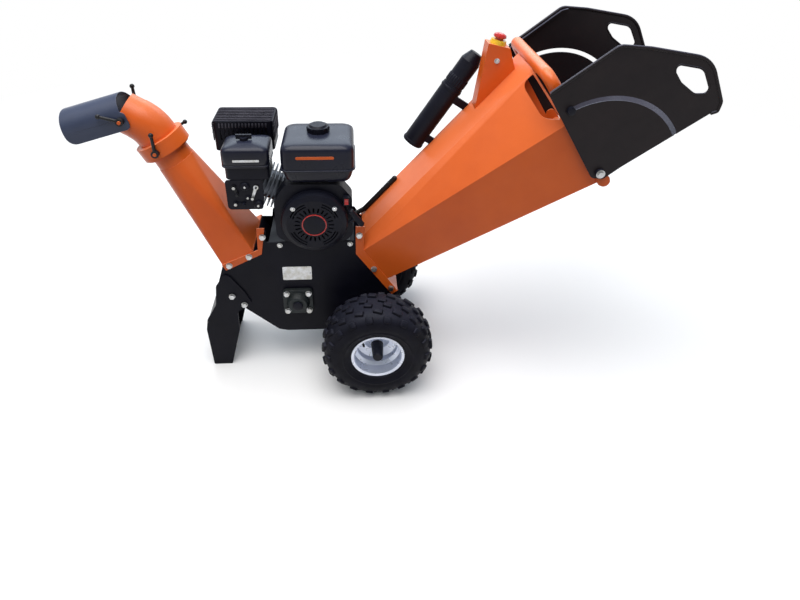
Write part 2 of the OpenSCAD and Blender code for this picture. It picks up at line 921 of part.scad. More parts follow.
module tray_panel() {
    w = 6.5;
    rim_path = [[-172, 226], [-24, 342], [-4, 348]];
    color("#2b2526")
    difference() {
        union() {
            slab(around_hinge(panel_outline), -panel_out, -panel_in);
            slab(around_hinge(sheet(rim_path, -panel_t)), -panel_out + 1, -panel_out + 16);
        }
        slab(concat(arc(hinge, slot_r + w, slot_end, slot_a),
            arc(hinge + slot_r * ray(slot_a), w, slot_a, slot_a + 180, 8),
            flip(arc(hinge, slot_r - w, slot_end, slot_a)),
            arc(hinge + slot_r * ray(slot_end), w, slot_end + 180, slot_end + 360, 8)),
            -panel_out - 1, -panel_in + 1);
        slab(around_hinge(hand_hole), -panel_out - 1, -panel_in + 1);
        rod(hinge, 6 + run, -panel_out - 1, -panel_in + 1);
    }
}

module tray_near() tray_panel();

module tray_far() far_side() tray_panel();

module tray_floor() {
    floor_path = [[38, 0], [60, 17], [260, 168], [278, 176]];
    color("#2f292a")
        slab(around_hinge(sheet(floor_path, panel_t)), -panel_in, panel_in);
}

// Stop box on the hopper's top, with the stop button

box_y = [8, 58];
box_low = mouth_top + 36 * top_dir;
box_back = mouth_top + 198 * top_dir;
box_top = [mouth_top + [-44, 32], mouth_top + [-108, 46]];
box_mid = (box_top[0] + box_top[1]) / 2;
stop_spot = [box_mid[0], (box_y[0] + box_y[1]) / 2, box_mid[1]];
stop_lean = atan2(box_top[1][1] - box_top[0][1], box_top[0][0] - box_top[1][0]);
stop_r = 19;

module stop_box() {
    p = [box_back, box_low, box_top[0], box_top[1]];
    color("#d9662b")
    difference() {
        slab(p, box_y[0], box_y[1]);
        slab(inset(p, sheet_t), box_y[0] + sheet_t, box_y[1] - sheet_t);
    }
}

module stop_frame()
    translate(stop_spot)
        rotate([0, stop_lean, 0])
            children();

module stop_base()
    color("#e8c51e")
    stop_frame()
        difference() {
            cylinder(h = 12, r1 = 24, r2 = 22);
            translate([0, 0, 3])
                cylinder(h = 10, r = 12 + fit);
        }

module stop_button()
    color("#c8231c")
    stop_frame()
        translate([0, 0, 8])
            rotate_extrude()
                polygon([[0, 0], [12, 0], [12, 9], [stop_r - 2, 10], [stop_r, 13], [stop_r - 2, 19],
                    [stop_r - 8, 22], [0, 23]]);

// Document tube along the top's far edge, on two saddles, with a turning lid

tube_r = 33;
tube_y = box_y[1] + 36;
tube_low = mouth_top + 420 * top_dir + top_out * 37;
tube_tip = 8.5;
tube_l = 224;
lid_l = 116;

module tube_frame()
    translate([tube_low[0], tube_y, tube_low[1]])
        rotate([0, atan2(-top_dir[0], -top_dir[1]) - tube_tip, 0])
            children();

module document_tube()
    color("#1b1b1e")
    difference() {
        tube_frame()
            difference() {
                union() {
                    cylinder(h = tube_l, r = tube_r);
                    translate([0, 0, tube_l - 1])
                        cylinder(h = 20, r = tube_r - 8);
                    block([4, -25, 30], [60, -16, 54]);
                    block([4, -25, 180], [100, -16, 204]);
                }
                translate([0, 0, 3])
                    cylinder(h = tube_l + 40, r = tube_r - 11);
            }
        hopper_solid(0, 0);
    }

module tube_lid()
    color("#222226")
    tube_frame()
        translate([0, 0, tube_l + fit])
            difference() {
                union() {
                    cylinder(h = lid_l - 30, r = tube_r - 2);
                    translate([0, 0, lid_l - 30])
                        cylinder(h = 30, r1 = tube_r - 2, r2 = tube_r - 14);
                }
                translate([0, 0, -1])
                    cylinder(h = lid_l - 30, r = tube_r - 8 + fit);
            }

// Stop cable: a round conduit along the top's far edge, then over to the engine

cable_r = 8;
cable_y = top_w / 2 - 20;

function lift(u, h) = let(p = mouth_top + u * top_dir + top_out * h) [p[0], cable_y, p[1]];

module cable_piece(a, b)
    hull()
        for (q = [a, b])
            translate(q)
                sphere(r = cable_r, $fn = 16);

module stop_cable() {
    run_u = norm(throat_top - mouth_top);
    e = lift(run_u - 4, cable_r);
    p = [lift(540, cable_r), lift(run_u - 22, cable_r), e + [-10, 0, 0],
        [crank_x + 86 + cable_r + seat, cable_y - 6, deck_z + 22]];
    color("#17171a")
        for (i = [0 : len(p) - 2])
            cable_piece(p[i], p[i + 1]);
}

// Engine

pto_y = 92;
case_y = [-52, 70];
case_left = crank_x - 76;

module crankcase()
    color("#6b7078")
    difference() {
        union() {
            block([crank_x - 104, -76, deck_z], [crank_x + 104, 76, deck_z + 12]);
            slab(rounded([[case_left, deck_z + 10, 0], [crank_x + 86, deck_z + 10, 0],
                [crank_x + 86, crank_z + 40, 30], [crank_x + 30, crank_z + 84, 20],
                [case_left, crank_z + 84, 12]]), case_y[0], case_y[1]);
            rod(crank, 48, case_y[1] - 1, pto_y);
            for (x = [crank_x - 46, crank_x + 62])
                translate([x, 24, crank_z + 50])
                    cylinder(h = tank_low - crank_z - 50, r = 10);
        }
        rod(crank, crank_r + run, case_y[0] - 1, pto_y + 1);
    }

barrel_rise = 25;
barrel_half = 50;
head_at = 206;

module barrel_frame()
    translate([crank_x, 0, crank_z])
        rotate([0, barrel_rise - 90, 0])
            children();

module cylinder_block()
    color("#7b8088")
    difference() {
        barrel_frame() {
            translate([0, 0, 60])
                cylinder(h = head_at - 60, r = 44);
            for (z = [114 : 12 : head_at - 6])
                block([-barrel_half, -barrel_half, z], [barrel_half, barrel_half, z + 4]);
            block([-barrel_half, -barrel_half, head_at - 1], [barrel_half, barrel_half, head_at + 24]);
            translate([0, 0, head_at + 23])
                cylinder(h = 30, r = 11);
        }
        block([case_left, -100, crank_z - 150], [case_left + 300, 100, crank_z + 200]);
    }

module crankshaft()
    color("#8a8c92")
        rod(crank, crank_r, -98, pulley_y + pulley_w + 4);

fan_r = 76;

module cooling_fan()
    color("#3f4146") {
        spun(crank, [[crank_r, -98], [fan_r - 20, -98], [fan_r, -92], [fan_r, -88], [crank_r, -86]]);
        for (a = [0 : 22.5 : 337.5])
            translate([crank_x, -88, crank_z])
                rotate([0, a, 0])
                    block([crank_r + 20, 0, -1.5], [fan_r - 2, 22, 1.5]);
    }

blower_y = [-106, case_y[0]];
blower_t = 3;

module blower_cover() {
    p = rounded([
        [crank_x - 119, crank_z - 60, 26],
        [crank_x - 92, crank_z - 83, 20],
        [crank_x + 92, crank_z - 83, 20],
        [crank_x + 113, crank_z - 60, 20],
        [crank_x + 113, crank_z + 70, 26],
        [crank_x + 78, crank_z + 116, 30],
        [crank_x - 82, crank_z + 118, 30],
        [crank_x - 119, crank_z + 60, 30]]);
    color("#1d1d21") {
        difference() {
            slab(p, blower_y[0], blower_y[1]);
            slab(inset(p, blower_t), blower_y[0] + blower_t, blower_y[1] + 1);
            rod(crank, fan_r + 2, blower_y[0] - 1, blower_y[1]);
        }
        switch_housing();
    }
}

recoil_y = -143;
recoil_t = 2.5;
rope_y = -124;
rope_off = 62;
rope_a = 35;
rope_mid = crank + rope_off * ray(rope_a - 90);
rope_exit = sqrt(pow(recoil_d / 2, 2) - pow(rope_off, 2));

module rope_frame()
    translate([rope_mid[0], rope_y, rope_mid[1]])
        rotate([0, 90 - rope_a, 0])
            children();

module recoil_cover() {
    r = recoil_d / 2;
    f = recoil_y;
    b = blower_y[0];
    t = recoil_t;
    color("#222226")
    difference() {
        spun(crank, [[0, f], [r - 18, f], [r - 4, f + 8], [r, f + 18], [r, b], [r - t, b], [r - t, f + 19],
            [r - 6, f + 10], [r - 19, f + t], [0, f + t]]);
        for (a = [0 : 15 : 345])
            translate([crank_x, 0, crank_z])
                rotate([0, a, 0])
                    block([42, f - 1, -2.5], [58, f + t + 1, 2.5]);
        for (k = [64, 72])
            for (a = [20, 110, 200, 290])
                slab(concat(arc(crank, k + 4, a, a + 50, 10), flip(arc(crank, k, a, a + 50, 10))),
                    f - 1, f + t + 1);
        rope_frame()
            translate([0, 0, rope_exit - 30])
                cylinder(h = 60, r = 4);
    }
}

// Starter grip with a stub of its rope; the bar stays clear of the round cover
grip_at = rope_exit + 30;
grip_half = 26;
grip_r = 9;

module starter_grip()
    color("#18181b")
    rope_frame() {
        translate([0, 0, rope_exit - 140])
            cylinder(h = 150, r = 2.5, $fn = 24);
        translate([0, 0, rope_exit + 8])
            cylinder(h = 18, r1 = 5, r2 = grip_r - 0.5);
        translate([0, 0, grip_at])
            rotate([0, 90, 0])
                rotate_extrude()
                    polygon([[0, -grip_half - 8], [grip_r - 4, -grip_half - 8], [grip_r, -grip_half - 3],
                        [grip_r, grip_half + 3], [grip_r - 4, grip_half + 8], [0, grip_half + 8]]);
    }

// Fuel tank

tank_low = crank_z + 134;
tank_x = crank_x + 17;
tank_y = -44;
seam_z = tank_low + 0.36 * tank_h;
neck_r = 22;

// Level slice of the tank, e inside its largest outline
module tank_slice(e, r, low, high)
    translate([tank_x, tank_y, low])
        linear_extrude(high - low)
            polygon(rounded([for (k = [[-1, -1], [1, -1], [1, 1], [-1, 1]])
                [k[0] * (tank_l / 2 - e), k[1] * (tank_w / 2 - e), r]], 5));

module fuel_tank() {
    top = tank_low + tank_h;
    color("#1f1f24")
    union() {
        hull() {
            tank_slice(0, 24, seam_z, seam_z + 22);
            tank_slice(1, 24, seam_z, top - 15);
            tank_slice(6, 25, seam_z, top - 7);
            tank_slice(14, 25, seam_z, top - 2);
            tank_slice(26, 25, seam_z, top);
        }
        hull() {
            tank_slice(3, 22, seam_z - 6, seam_z);
            tank_slice(22, 16, tank_low, seam_z);
        }
        tank_slice(-3, 26, seam_z - 2, seam_z + 2);
        translate([tank_x, tank_y + 18, top - 12])
            cylinder(h = 22, r = neck_r);
    }
}

module fuel_cap()
    color("#26262b")
    translate([tank_x, tank_y + 18, tank_low + tank_h + fit])
        difference() {
            union() {
                cylinder(h = 16, r = 31);
                translate([0, 0, 15])
                    cylinder(h = 6, r1 = 28, r2 = 22);
                for (a = [0 : 30 : 330])
                    rotate([0, 0, a])
                        translate([31, 0, 1])
                            cylinder(h = 13, r = 2.4, $fn = 16);
            }
            translate([0, 0, -1])
                cylinder(h = 11 + fit, r = neck_r + fit);
        }

// Air filter, carburettor and control plate

filter_a = [crank_x - 250, -138];
filter_b = [crank_x - 116, -26];
filter_low = crank_z + 150;
filter_seam = filter_low + 38;
filter_top = crank_z + 252;
knob_spot = [filter_a[0] + 62, -84];

module filter_base()
    color("#1c1c20")
    difference() {
        union() {
            translate([0, 0, filter_low])
                linear_extrude(filter_seam - filter_low)
                    polygon(rounded([concat(filter_a + [6, 6], 18), [filter_b[0] - 4, filter_a[1] + 6, 18],
                        concat(filter_b - [4, 4], 18), [filter_a[0] + 6, filter_b[1] - 4, 18]]));
            translate([knob_spot[0], knob_spot[1], filter_seam - 1])
                cylinder(h = filter_top - filter_seam + 17, r = 4);
        }
        translate([0, 0, filter_low + 6])
            linear_extrude(filter_seam)
                polygon(rounded([concat(filter_a + [12, 12], 12), [knob_spot[0] - 12, filter_a[1] + 12, 4],
                    [knob_spot[0] - 12, filter_b[1] - 10, 4], [filter_a[0] + 12, filter_b[1] - 10, 12]]));
    }

module filter_cover()
    color("#242428")
    difference() {
        hull() {
            translate([0, 0, filter_seam])
                linear_extrude(filter_top - filter_seam - 22)
                    polygon(rounded([concat(filter_a, 22), [filter_b[0], filter_a[1], 22],
                        concat(filter_b, 22), [filter_a[0], filter_b[1], 22]]));
            soft_block([filter_a[0] + 12, filter_a[1] + 12, filter_seam + 10],
                [filter_b[0] - 12, filter_b[1] - 12, filter_top], 14);
        }
        translate([knob_spot[0], knob_spot[1], filter_seam - 1])
            cylinder(h = filter_top, r = 4 + fit);
        block([filter_a[0] + 10, filter_a[1] + 10, filter_seam - 1],
            [filter_b[0] - 10, filter_b[1] - 10, filter_seam + 26]);
    }

module filter_knob()
    color("#2a2a2e")
    translate([knob_spot[0], knob_spot[1], filter_top + fit])
        difference() {
            union() {
                cylinder(h = 8, r = 12);
                for (a = [0, 180])
                    rotate([0, 0, a])
                        block([4, -3, 3], [22, 3, 16]);
            }
            translate([0, 0, -1])
                cylinder(h = 30, r = 4 + run);
        }

carb_x = [crank_x - 212, crank_x - 168];

module carburettor()
    color("#8f939a") {
        block([carb_x[0], -112, crank_z + 70], [carb_x[1], -barrel_half, crank_z + 118]);
        block([carb_x[0] + 4, -108, crank_z + 116], [carb_x[1] - 4, -70, filter_low]);
        translate([(carb_x[0] + carb_x[1]) / 2, -88, crank_z + 46])
            cylinder(h = 26, r = 19);
    }

plate_y = -132;
throttle_spot = [crank_x - 160, crank_z + 126];
choke_spot = [crank_x - 222, crank_z + 126];
fuel_spot = [crank_x - 222, crank_z + 72];

module control_plate()
    color("#202024") {
        slab(rounded([[crank_x - 246, crank_z + 52, 12], [crank_x - 146, crank_z + 52, 8],
            [crank_x - 140, crank_z + 90, 10], [crank_x - 140, filter_low - 2, 8],
            [crank_x - 246, filter_low - 2, 8]]), plate_y, plate_y + 4);
        block([carb_x[0] + 6, plate_y + 3, crank_z + 74], [carb_x[1] - 6, -112, crank_z + 110]);
        for (s = [throttle_spot, choke_spot, fuel_spot])
            rod(s, 3, plate_y - 8, plate_y + 1);
    }

// Small lever on the control plate, its arm along angle a
module plate_lever(s, a, l) {
    difference() {
        union() {
            rod(s, 7, plate_y - 5, plate_y - fit);
            slab(loop(s, 4.5, s + l * ray(a), 3.5, 12), plate_y - 4, plate_y - 1);
            rod(s + l * ray(a), 4, plate_y - 14, plate_y - 1);
        }
        rod(s, 3 + run, plate_y - 6, plate_y + 1);
    }
}

module throttle_lever()
    color("#a4a6ac")
        plate_lever(throttle_spot, 250, 34);

module choke_lever()
    color("#97999f")
        plate_lever(choke_spot, 290, 22);

module fuel_lever()
    color("#1a1a1d")
        plate_lever(fuel_spot, 0, 24);

// Muffler on the far side, with its guard

guard_a = [crank_x - 292, 2];
guard_b = [crank_x - 117, 120];
guard_z = [crank_z + 178, crank_z + 270];
muff_a = [guard_a[0] + 14, guard_a[1] + 12, crank_z + 170];
muff_b = [guard_b[0] - 14, guard_b[1] - 12, crank_z + 256];
port = [crank_x - 208, crank_x - 178];

module muffler()
    color("#5d5753")
    difference() {
        union() {
            block(muff_a, muff_b);
            block([port[0], barrel_half, crank_z + 86], [port[1], barrel_half + 26, muff_a[2] + 1]);
            for (x = [muff_a[0] + 20, muff_b[0] - 20], y = [muff_a[1] + 16, muff_b[1] - 16])
                translate([x, y, muff_b[2] - 1])
                    cylinder(h = guard_z[1] - 2 - muff_b[2] + 1, r = 6);
        }
        block(muff_a + [2, 2, 2], muff_b - [2, 2, 2]);
    }

module muffler_guard()
    color("#1b1b1e")
    difference() {
        translate([0, 0, guard_z[0]])
            linear_extrude(guard_z[1] - guard_z[0])
                polygon(rounded([concat(guard_a, 14), [guard_b[0], guard_a[1], 14], concat(guard_b, 14),
                    [guard_a[0], guard_b[1], 14]]));
        translate([0, 0, guard_z[0] - 1])
            linear_extrude(guard_z[1] - guard_z[0] - 1)
                polygon(rounded([concat(guard_a + [2, 2], 12), [guard_b[0] - 2, guard_a[1] + 2, 12],
                    concat(guard_b - [2, 2], 12), [guard_a[0] + 2, guard_b[1] - 2, 12]]));
        for (k = [0 : 11])
            translate([guard_a[0] + 20 + k * 12, 0, 0]) {
                block([0, guard_a[1] + 40, guard_z[1] - 4], [5, guard_b[1] - 40, guard_z[1] + 1]);
                block([0, guard_a[1] - 1, guard_z[0] + 34], [5, guard_a[1] + 4, guard_z[1] - 22]);
            }
    }

// Engine switch on the blower cover's front
switch_spot = [crank_x + 96, crank_z + 66];
switch_w = 9;
switch_h = 14;
rocker_w = switch_w - 3;
rocker_h = switch_h - 5.5;

module switch_housing()
    difference() {
        block([switch_spot[0] - switch_w, blower_y[0] - 16, switch_spot[1] - switch_h],
            [switch_spot[0] + switch_w, blower_y[0] + 1, switch_spot[1] + switch_h]);
        block([switch_spot[0] - rocker_w, blower_y[0] - 17, switch_spot[1] - switch_h + 3],
            [switch_spot[0] + rocker_w, blower_y[0] - 5, switch_spot[1] + switch_h - 3]);
    }

module engine_switch()
    color("#b3241c")
        translate([switch_spot[0], blower_y[0] - 11, switch_spot[1]])
            rotate([0, 90, 0])
                union() {
                    translate([0, 0, -rocker_w + fit])
                        linear_extrude(2 * (rocker_w - fit))
                            polygon([[-rocker_h, 1], [rocker_h, 1], [rocker_h, -8], [0, -5], [-rocker_h, -5]]);
                    translate([0, 0, -rocker_w + 1])
                        cylinder(h = 2 * rocker_w - 2, r = 4);
                }

// The frame's origin lies under the middle of the whole machine
far_right = max([for (p = panel_outline) hinge[0] + p[0]]);
hood_tip = [hood_l - 2, hood_in + hood_t - hood_down];
far_left = hood_pivot[0] - hood_tip[0] * cos(hood_slope) - hood_tip[1] * sin(hood_slope);
middle = (far_right + far_left) / 2;

module placed()
    translate([-middle, 0, 0])
        children();

placed() side_plate_near();
placed() side_plate_far();
placed() rotor_shroud();
placed() bed_knife();
placed() engine_deck();
placed() axle();
placed() axle_caps();
placed() front_leg();
placed() frame_bolts();
placed() bearing_units();
placed() chute();
placed() hopper();
placed() mouth_hoop();
placed() hinge_tube();
placed() stop_box();
placed() stop_base();
placed() document_tube();
placed() stop_cable();
placed() crankcase();
placed() cylinder_block();
placed() muffler();
placed() muffler_guard();
placed() filter_base();
placed() filter_cover();
placed() carburettor();
placed() control_plate();
placed() fuel_tank();
placed() blower_cover();
placed() recoil_cover();
placed() belt_guard();
placed() drive_belts();
placed() tyre_near();
placed() rim_near();
placed() tyre_far();
placed() rim_far();
placed() rotor_shaft();
placed() rotor_drum();
placed() rotor_knives();
placed() rotor_pulley();
placed() crankshaft();
placed() engine_pulley();
placed() cooling_fan();
placed() elbow();
placed() deflector_hood();
placed() collar_lever_near();
placed() collar_lever_far();
placed() hood_lever_near();
placed() hood_lever_far();
placed() tray_near();
placed() tray_far();
placed() tray_floor();
placed() stop_button();
placed() tube_lid();
placed() fuel_cap();
placed() filter_knob();
placed() throttle_lever();
placed() choke_lever();
placed() fuel_lever();
placed() engine_switch();
placed() starter_grip();
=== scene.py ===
# %% [markdown]
# # Petrol garden shredder
#
# A two-wheeled wood chipper. Branches go in at the feed tray, slide down the orange hopper
# to a bladed rotor between two black plates, and leave as chips through the leaning chute.
# A small horizontal-shaft engine on top drives the rotor by belts on the far side.
#
# The solid model gives every piece its place and size. The cells below add the finishes,
# the knobbly tyres and the small fittings, then set the camera and the studio.

# %%
import json
import math

import bmesh
import bpy
import numpy as np
from mathutils import Matrix, Vector


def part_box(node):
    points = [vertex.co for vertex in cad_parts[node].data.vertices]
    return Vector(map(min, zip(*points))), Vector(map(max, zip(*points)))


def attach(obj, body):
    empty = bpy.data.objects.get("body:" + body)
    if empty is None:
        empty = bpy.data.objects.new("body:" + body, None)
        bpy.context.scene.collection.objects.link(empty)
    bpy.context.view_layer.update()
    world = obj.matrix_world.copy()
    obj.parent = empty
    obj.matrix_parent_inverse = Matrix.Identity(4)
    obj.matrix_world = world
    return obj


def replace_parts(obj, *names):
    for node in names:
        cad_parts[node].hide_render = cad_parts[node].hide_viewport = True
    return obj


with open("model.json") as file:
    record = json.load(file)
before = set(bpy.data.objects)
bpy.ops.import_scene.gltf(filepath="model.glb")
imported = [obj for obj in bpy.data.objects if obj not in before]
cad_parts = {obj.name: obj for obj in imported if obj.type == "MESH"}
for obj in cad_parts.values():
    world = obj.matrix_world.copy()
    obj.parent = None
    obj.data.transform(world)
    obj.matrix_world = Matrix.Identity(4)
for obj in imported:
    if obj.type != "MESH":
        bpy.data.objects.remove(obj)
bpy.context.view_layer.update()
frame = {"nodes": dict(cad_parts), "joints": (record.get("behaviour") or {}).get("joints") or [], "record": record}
nodes = frame["nodes"]
joints = {j["name"]: j for j in frame["joints"]}
MM = 0.001
print("nodes:", len(nodes), "joints:", len(joints))

# %% [markdown]
# ## Camera
#
# The viewpoint stands near the left of the machine's middle, about 1.5 m up and 1.6 m away,
# and looks down by 30 degrees. The picture's optical axis meets the frame left of and above
# its centre, so the sensor is shifted by that much and not turned.

# %%
IMAGE_W, IMAGE_H = 800, 600
FOCAL_PX = 574.15
AXIS_PX = (390, 200)
EYE = Vector((-75.3, -1584.5, 1516.0)) * MM
PITCH, YAW, ROLL = (math.radians(a) for a in (30.32, 4.36, 1.31))

forward = Vector((math.sin(YAW) * math.cos(PITCH), math.cos(YAW) * math.cos(PITCH), -math.sin(PITCH)))
level = Vector((math.cos(YAW), -math.sin(YAW), 0))
above = level.cross(forward)
right = level * math.cos(ROLL) + above * math.sin(ROLL)
up = above * math.cos(ROLL) - level * math.sin(ROLL)

camera = bpy.data.objects.new("camera", bpy.data.cameras.new("camera"))
bpy.context.scene.collection.objects.link(camera)
turn = Matrix((right, up, -forward)).transposed().to_4x4()
camera.matrix_world = Matrix.Translation(EYE) @ turn
camera.data.sensor_width = 36
camera.data.lens = FOCAL_PX * camera.data.sensor_width / IMAGE_W
camera.data.shift_x = (IMAGE_W / 2 - AXIS_PX[0]) / IMAGE_W
camera.data.shift_y = (AXIS_PX[1] - IMAGE_H / 2) / IMAGE_W
bpy.context.scene.camera = camera
print("lens", round(camera.data.lens, 2), "mm")

# %% [markdown]
# ## Building materials from nodes
#
# Each finish is a small node tree. `add` makes one node and links or sets its inputs, so a
# tree reads as a list of steps. Three shared groups carry the effects that all finishes
# need: an uneven tone, an uneven gloss and a fine relief. They read object coordinates,
# which are real metres here, so every grain has its true size.

# %%
def add(tree, kind, inputs=None, **settings):
    """Makes a node; inputs maps a socket's name or number to a value or another socket."""
    node = tree.nodes.new(kind)
    for key, value in settings.items():
        setattr(node, key, value)
    for key, value in (inputs or {}).items():
        socket = node.inputs[key]
        if isinstance(value, bpy.types.NodeSocket):
            tree.links.new(value, socket)
        else:
            socket.default_value = value
    return node


def new_group(name, inputs, outputs):
    """An empty node group with the named sockets; returns it with its two end nodes."""
    group = bpy.data.node_groups.new(name, "ShaderNodeTree")
    for label, kind in inputs:
        group.interface.new_socket(label, in_out="INPUT", socket_type="NodeSocket" + kind)
    for label, kind in outputs:
        group.interface.new_socket(label, in_out="OUTPUT", socket_type="NodeSocket" + kind)
    return group, group.nodes.new("NodeGroupInput"), group.nodes.new("NodeGroupOutput")


def noise(tree, vector, scale, detail=3.0, roughness=0.5):
    """Smooth random values from 0 to 1; scale counts waves per metre."""
    return add(tree, "ShaderNodeTexNoise",
               {"Vector": vector, "Scale": scale, "Detail": detail, "Roughness": roughness}).outputs["Fac"]


def span(tree, value, low, high, to_low=0.0, to_high=1.0):
    """Maps a value from one range to another, clamped."""
    return add(tree, "ShaderNodeMapRange", {"Value": value, "From Min": low, "From Max": high,
                                            "To Min": to_low, "To Max": to_high}).outputs["Result"]


def mixed(tree, amount, a, b):
    """Colour a (1 - amount) + b amount."""
    return add(tree, "ShaderNodeMix", {"Factor": amount, "A": a, "B": b}, data_type="RGBA").outputs["Result"]


def times(tree, a, b):
    """Product of two values."""
    return add(tree, "ShaderNodeMath", {0: a, 1: b}, operation="MULTIPLY").outputs[0]


# %% [markdown]
# ### Uneven tone, gloss and surface
#
# Paint, rubber and plastic never have one colour all over: handling and dust leave broad
# soft patches, and fine specks lie on top. The first group mixes two colours by a broad noise,
# then lays a paler colour on faces that look up: settled dust, and in several finishes a painted
# sheen of the sky light. The other two vary the gloss and the surface.

# %%
SPECK_SCALE = 420.0
COARSE_SHARE = 0.31


def make_tone():
    """Colour from two tones and a paler layer on upward faces, which is settled dust and, in some finishes, painted
    sheen of the sky light: amount x specks x how far a face looks up.
    """
    group, start, end = new_group(
        "uneven tone",
        [("Vector", "Vector"), ("Colour", "Color"), ("Shade", "Color"), ("Dust and sheen", "Color"),
         ("Scale", "Float"), ("Sheen and dust amount", "Float")],
        [("Colour", "Color")])
    vector = start.outputs["Vector"]
    broad = span(group, noise(group, vector, start.outputs["Scale"], 4.0, 0.55), 0.36, 0.66)
    tone = mixed(group, broad, start.outputs["Colour"], start.outputs["Shade"])
    specks = span(group, noise(group, vector, SPECK_SCALE, 2.0), 0.4, 0.74, 0.6, 1.0)
    normal = add(group, "ShaderNodeNewGeometry").outputs["Normal"]
    height = add(group, "ShaderNodeSeparateXYZ", {"Vector": normal}).outputs["Z"]
    # Faces that look up take a paler layer: settled dust, and in several finishes a painted sheen of the sky light.
    facing_up = span(group, height, 0.4, 0.98)
    dust_and_sheen_share = times(group, times(group, specks, facing_up), start.outputs["Sheen and dust amount"])
    group.links.new(mixed(group, dust_and_sheen_share, tone, start.outputs["Dust and sheen"]), end.inputs["Colour"])
    return group


def make_gloss():
    """Roughness that wanders between a low and a high value, like smears on paint."""
    group, start, end = new_group(
        "uneven gloss", [("Vector", "Vector"), ("Scale", "Float"), ("Low", "Float"), ("High", "Float")],
        [("Roughness", "Float")])
    smear = noise(group, start.outputs["Vector"], start.outputs["Scale"], 5.0, 0.6)
    spread = span(group, smear, 0.3, 0.72, start.outputs["Low"], start.outputs["High"])
    group.links.new(spread, end.inputs["Roughness"])
    return group


def make_relief():
    """Bumped normal from a coarse and a fine noise added together."""
    group, start, end = new_group(
        "fine relief", [("Vector", "Vector"), ("Scale", "Float"), ("Depth", "Float")], [("Normal", "Vector")])
    vector = start.outputs["Vector"]
    coarse = noise(group, vector, times(group, start.outputs["Scale"], COARSE_SHARE), 2.0)
    fine = noise(group, vector, start.outputs["Scale"], 2.0)
    grain = add(group, "ShaderNodeMath", {0: coarse, 1: fine}, operation="ADD").outputs[0]
    bump = add(group, "ShaderNodeBump", {"Height": grain, "Distance": start.outputs["Depth"], "Strength": 1.0})
    group.links.new(bump.outputs["Normal"], end.inputs["Normal"])
    return group


TONE, GLOSS, RELIEF = make_tone(), make_gloss(), make_relief()
print("groups:", TONE.name, GLOSS.name, RELIEF.name)

# %% [markdown]
# ### Finishes
#
# `finish` joins the three groups to one shader. Colours are written as hex values as seen,
# and turned to the linear values that the shader needs. Scales count waves per metre and
# depths are in metres: orange peel on powder coat is about 1.5 mm apart and a few
# hundredths of a millimetre deep, cast metal is coarser and deeper.

# %%
SMEARS_PER_PATCH = 3
COAT_ROUGHNESS = 0.12


def linear(text):
    """Linear RGBA of a colour such as '#d9662b'."""
    parts = [int(text[i:i + 2], 16) / 255 for i in (1, 3, 5)]
    return tuple(c / 12.92 if c <= 0.04045 else ((c + 0.055) / 1.055) ** 2.4 for c in parts) + (1.0,)


def finish(name, colour, shade, scale=6.0, dust_and_sheen="#8a8378", dust_and_sheen_amount=0.12, gloss=(0.3, 0.45),
           grain=700.0, depth=0.00004, metallic=0.0, coat=0.0, specular=0.5):
    """A material from the three groups; gloss is its lowest and highest roughness. The dust colour and amount lie on
    upward faces: settled dust, and in some finishes a painted sheen.
    """
    material = bpy.data.materials.new(name)
    material.use_nodes = True
    tree = material.node_tree
    shader = tree.nodes["Principled BSDF"]
    place = add(tree, "ShaderNodeTexCoord").outputs["Object"]
    tone = add(tree, "ShaderNodeGroup", {
        "Vector": place, "Colour": linear(colour), "Shade": linear(shade), "Dust and sheen": linear(dust_and_sheen),
        "Scale": scale, "Sheen and dust amount": dust_and_sheen_amount}, node_tree=TONE)
    smear = add(tree, "ShaderNodeGroup", {
        "Vector": place, "Scale": scale * SMEARS_PER_PATCH, "Low": gloss[0], "High": gloss[1]}, node_tree=GLOSS)
    relief = add(tree, "ShaderNodeGroup", {"Vector": place, "Scale": grain, "Depth": depth}, node_tree=RELIEF)
    tree.links.new(tone.outputs["Colour"], shader.inputs["Base Color"])
    tree.links.new(smear.outputs["Roughness"], shader.inputs["Roughness"])
    tree.links.new(relief.outputs["Normal"], shader.inputs["Normal"])
    shader.inputs["Metallic"].default_value = metallic
    shader.inputs["Specular IOR Level"].default_value = specular
    shader.inputs["Coat Weight"].default_value = coat
    shader.inputs["Coat Roughness"].default_value = COAT_ROUGHNESS
    return material


